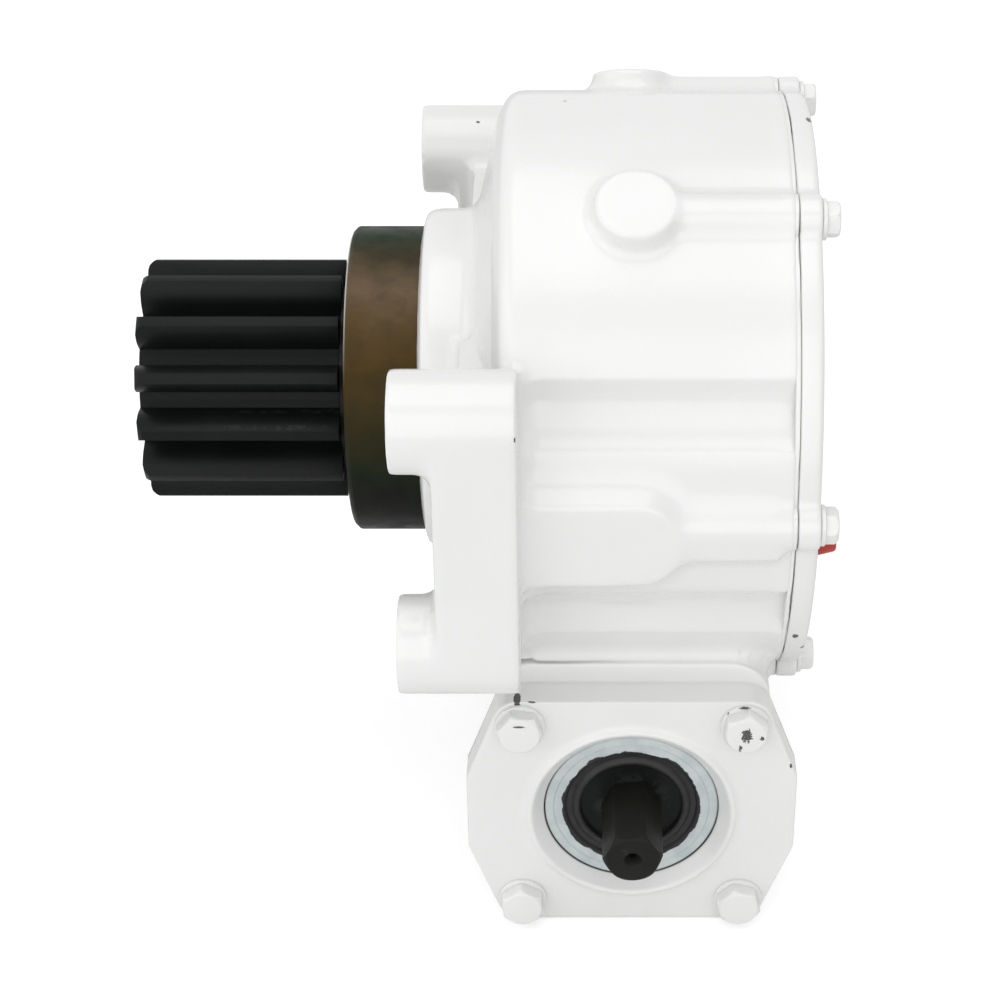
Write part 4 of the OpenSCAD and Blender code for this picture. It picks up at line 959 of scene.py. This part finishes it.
black_oxide = worked_metal("black_oxide", (0.0065, 0.0072, 0.007, 1), (0.009, 0.0105, 0.01, 1), 0.32, 0.42,
                           metallic=0.0, specular=0.12, scale=26.0, edge_colour=(0.03, 0.034, 0.033, 1))
hex_black = worked_metal("hex_black", (0.013, 0.0132, 0.011, 1), (0.016, 0.016, 0.0135, 1), 0.34, 0.46,
                         metallic=0.0, specular=0.1, edge_colour=(0.032, 0.032, 0.031, 1))
bearing_steel = worked_metal("bearing_steel", (0.62, 0.62, 0.61, 1), (0.5, 0.5, 0.5, 1), 0.16, 0.28)
cage_steel = worked_metal("cage_steel", (0.42, 0.42, 0.41, 1), (0.3, 0.3, 0.29, 1), 0.32, 0.5)
plain_steel = worked_metal("plain_steel", (0.46, 0.46, 0.45, 1), (0.34, 0.34, 0.33, 1), 0.28, 0.45)
grey_iron = worked_metal("grey_iron", (0.14, 0.14, 0.14, 1), (0.09, 0.09, 0.09, 1), 0.5, 0.7)
bronze = worked_metal("bronze", (0.62, 0.37, 0.13, 1), (0.45, 0.25, 0.09, 1), 0.22, 0.4)

ring_blue_painted_light = blued_steel()
seal_case_finish = masked_seal("seal_case_finish", (0.016, 0.016, 0.017, 1), 0.5)
seal_rubber = masked_seal("seal_rubber", (0.0075, 0.0075, 0.008, 1), 0.55)
rubber_black = moulded("rubber_black", (0.012, 0.012, 0.013, 1), (0.02, 0.02, 0.021, 1), 0.5)
red_plastic = moulded("red_plastic", (0.46, 0.032, 0.018, 1), (0.36, 0.022, 0.014, 1), 0.34)


# Pieces that stand for CAD nodes
def dress(piece, material, node, body="housing"):
    piece.data.materials.clear()
    piece.data.materials.append(material)
    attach(piece, body)
    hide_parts(node)


def dress_bolts(name, bolts_node, washers_name, washers_node, bolt, washer, places):
    """A set of bolts, lifted by the thickness of the washers under their heads, and the washers."""
    dress(set_of(make_hex_bolt, name, bolt, places, washer[-1]), bolt_paint, bolts_node)
    dress(set_of(make_washer, washers_name, washer, places, 0), bolt_paint, washers_node)


dress(make_drum_casing(), casing_paint, "main_casing")
dress(make_drum_cover(), cover_paint, "casing_cover")
dress(make_end_plate("worm_end_cover", "end_cover_plate"), plate_paint, "worm_end_cover")
dress(make_end_plate("motor_adapter", "motor_plate"), plate_paint, "motor_adapter")
dress_bolts("drum_bolts", "cover_bolts", "drum_washers", "cover_washers", COVER_BOLT, COVER_WASHER,
            cover_bolt_places())
for label, side in (("worm_cover", -1), ("adapter", 1)):
    dress_bolts(label + "_hex_bolts", label + "_bolts", label + "_flat_washers", label + "_washers",
                END_BOLT, END_WASHER, end_bolt_places(side))
dress(make_gasket_bead(), joint_paint, "cover_gasket")
dress(make_seam_bead("worm_cover_shims", "cover_seam", -1), joint_paint, "worm_cover_shims")
dress(make_seam_bead("adapter_shims", "adapter_seam", 1), joint_paint, "adapter_shims")
dress(make_pilot_ring(), ring_blue_painted_light, "pilot_ring")
dress(make_seal_case(), seal_case_finish, "worm_seal_case")
dress(make_seal_lip(), seal_rubber, "worm_seal_lip")
dress(make_vent_plug(), red_plastic, "transit_plug")
dress(make_shaft_pinion(), black_oxide, "output_shaft", "output")
dress(make_worm_body(), black_oxide, "worm_shaft", "worm")
dress(make_hex_end(), hex_black, "worm_shaft", "worm")

# CAD nodes whose shapes stay
BEARINGS = ("front_bearing_", "rear_bearing_", "near_bearing_", "far_bearing_")
KEPT_NODES = (
    (plain_steel, ("cover_dowels", "fill_plug", "level_plug", "drain_plug", "spacer_sleeve", "wheel_key",
                   "lock_washer", "lock_nut", "wheel_rim_bolts")),
    (rubber_black, ("output_seal", "motor_side_seal")),
    (grey_iron, ("wheel_hub",)),
    (bronze, ("wheel_rim",)),
    (bearing_steel, [bearing + part for bearing in BEARINGS for part in ("cup", "cone", "rollers")]),
    (cage_steel, [bearing + "cage" for bearing in BEARINGS]))
for finish, kept in KEPT_NODES:
    for node_name in kept:
        kept_node = nodes[node_name]
        if not kept_node.material_slots:
            kept_node.data.materials.append(finish)
        for material_slot in kept_node.material_slots:
            material_slot.material = finish


# Floor, world and lamps
FLOOR_Z = cad_box[0][2] - 0.4 * MM
FLOOR_SIZE = 8
FLOOR_WHITE = (0.86, 0.86, 0.86, 1)
FLOOR_ROUGH = 0.9
FLOOR_GLOW = 0.38
WORLD_LEVEL = 0.64
WHITE = (1, 1, 1, 1)
# Lamps: name, place, target, width, height and watts
LAMPS = (
    ("overhead_softbox", (0.05, -0.05, 1.3), (0.05, 0, 0), 1.3, 1.3, 5),
    ("front_panel", (0.05, -2.4, 0.65), (0.05, 0, -0.05), 4.2, 2.8, 29),
    ("left_panel", (-1.9, -0.8, 0.8), (0, 0, 0), 2.4, 2.0, 9))


def make_floor():
    """A pale floor that glows a little for the camera alone."""
    deselect_all()
    bpy.ops.mesh.primitive_plane_add(size=FLOOR_SIZE, location=(0, 0, FLOOR_Z))
    floor = settle(bpy.context.object)
    floor.name = "studio_floor"
    material = bpy.data.materials.new("floor_white")
    material.use_nodes = True
    tree = material.node_tree
    shader = tree.nodes["Principled BSDF"]
    shader.inputs["Base Color"].default_value = FLOOR_WHITE
    shader.inputs["Roughness"].default_value = FLOOR_ROUGH
    rays = tree.nodes.new("ShaderNodeLightPath")
    wire(tree, calc(tree, "MULTIPLY", rays.outputs["Is Camera Ray"], FLOOR_GLOW),
         shader.inputs["Emission Strength"])
    shader.inputs["Emission Color"].default_value = WHITE
    floor.data.materials.append(material)
    return floor


def make_world():
    """White to the camera, in reflections and through glass, and a softer light on the part."""
    world = bpy.data.worlds.new("studio")
    bpy.context.scene.world = world
    world.use_nodes = True
    tree = world.node_tree
    background = tree.nodes["Background"]
    rays = tree.nodes.new("ShaderNodeLightPath")
    seen = calc(tree, "MAXIMUM", rays.outputs["Is Camera Ray"],
                calc(tree, "MAXIMUM", rays.outputs["Is Glossy Ray"], rays.outputs["Is Transmission Ray"]))
    level = tree.nodes.new("ShaderNodeMapRange")
    wire(tree, seen, level.inputs["Value"])
    level.inputs["To Min"].default_value = WORLD_LEVEL
    level.inputs["To Max"].default_value = 1.0
    background.inputs["Color"].default_value = WHITE
    wire(tree, level.outputs[0], background.inputs["Strength"])


def make_lamp(name, place, target, width, height, watts):
    lamp = bpy.data.lights.new(name, "AREA")
    lamp.shape = "RECTANGLE"
    lamp.size, lamp.size_y, lamp.energy = width, height, watts
    holder = bpy.data.objects.new(name, lamp)
    holder.location = place
    holder.rotation_euler = (Vector(target) - Vector(place)).to_track_quat("-Z", "Y").to_euler()
    bpy.context.scene.collection.objects.link(holder)


make_floor()
make_world()
for lamp_row in LAMPS:
    make_lamp(*lamp_row)

bpy.context.scene.view_settings.view_transform = "Standard"
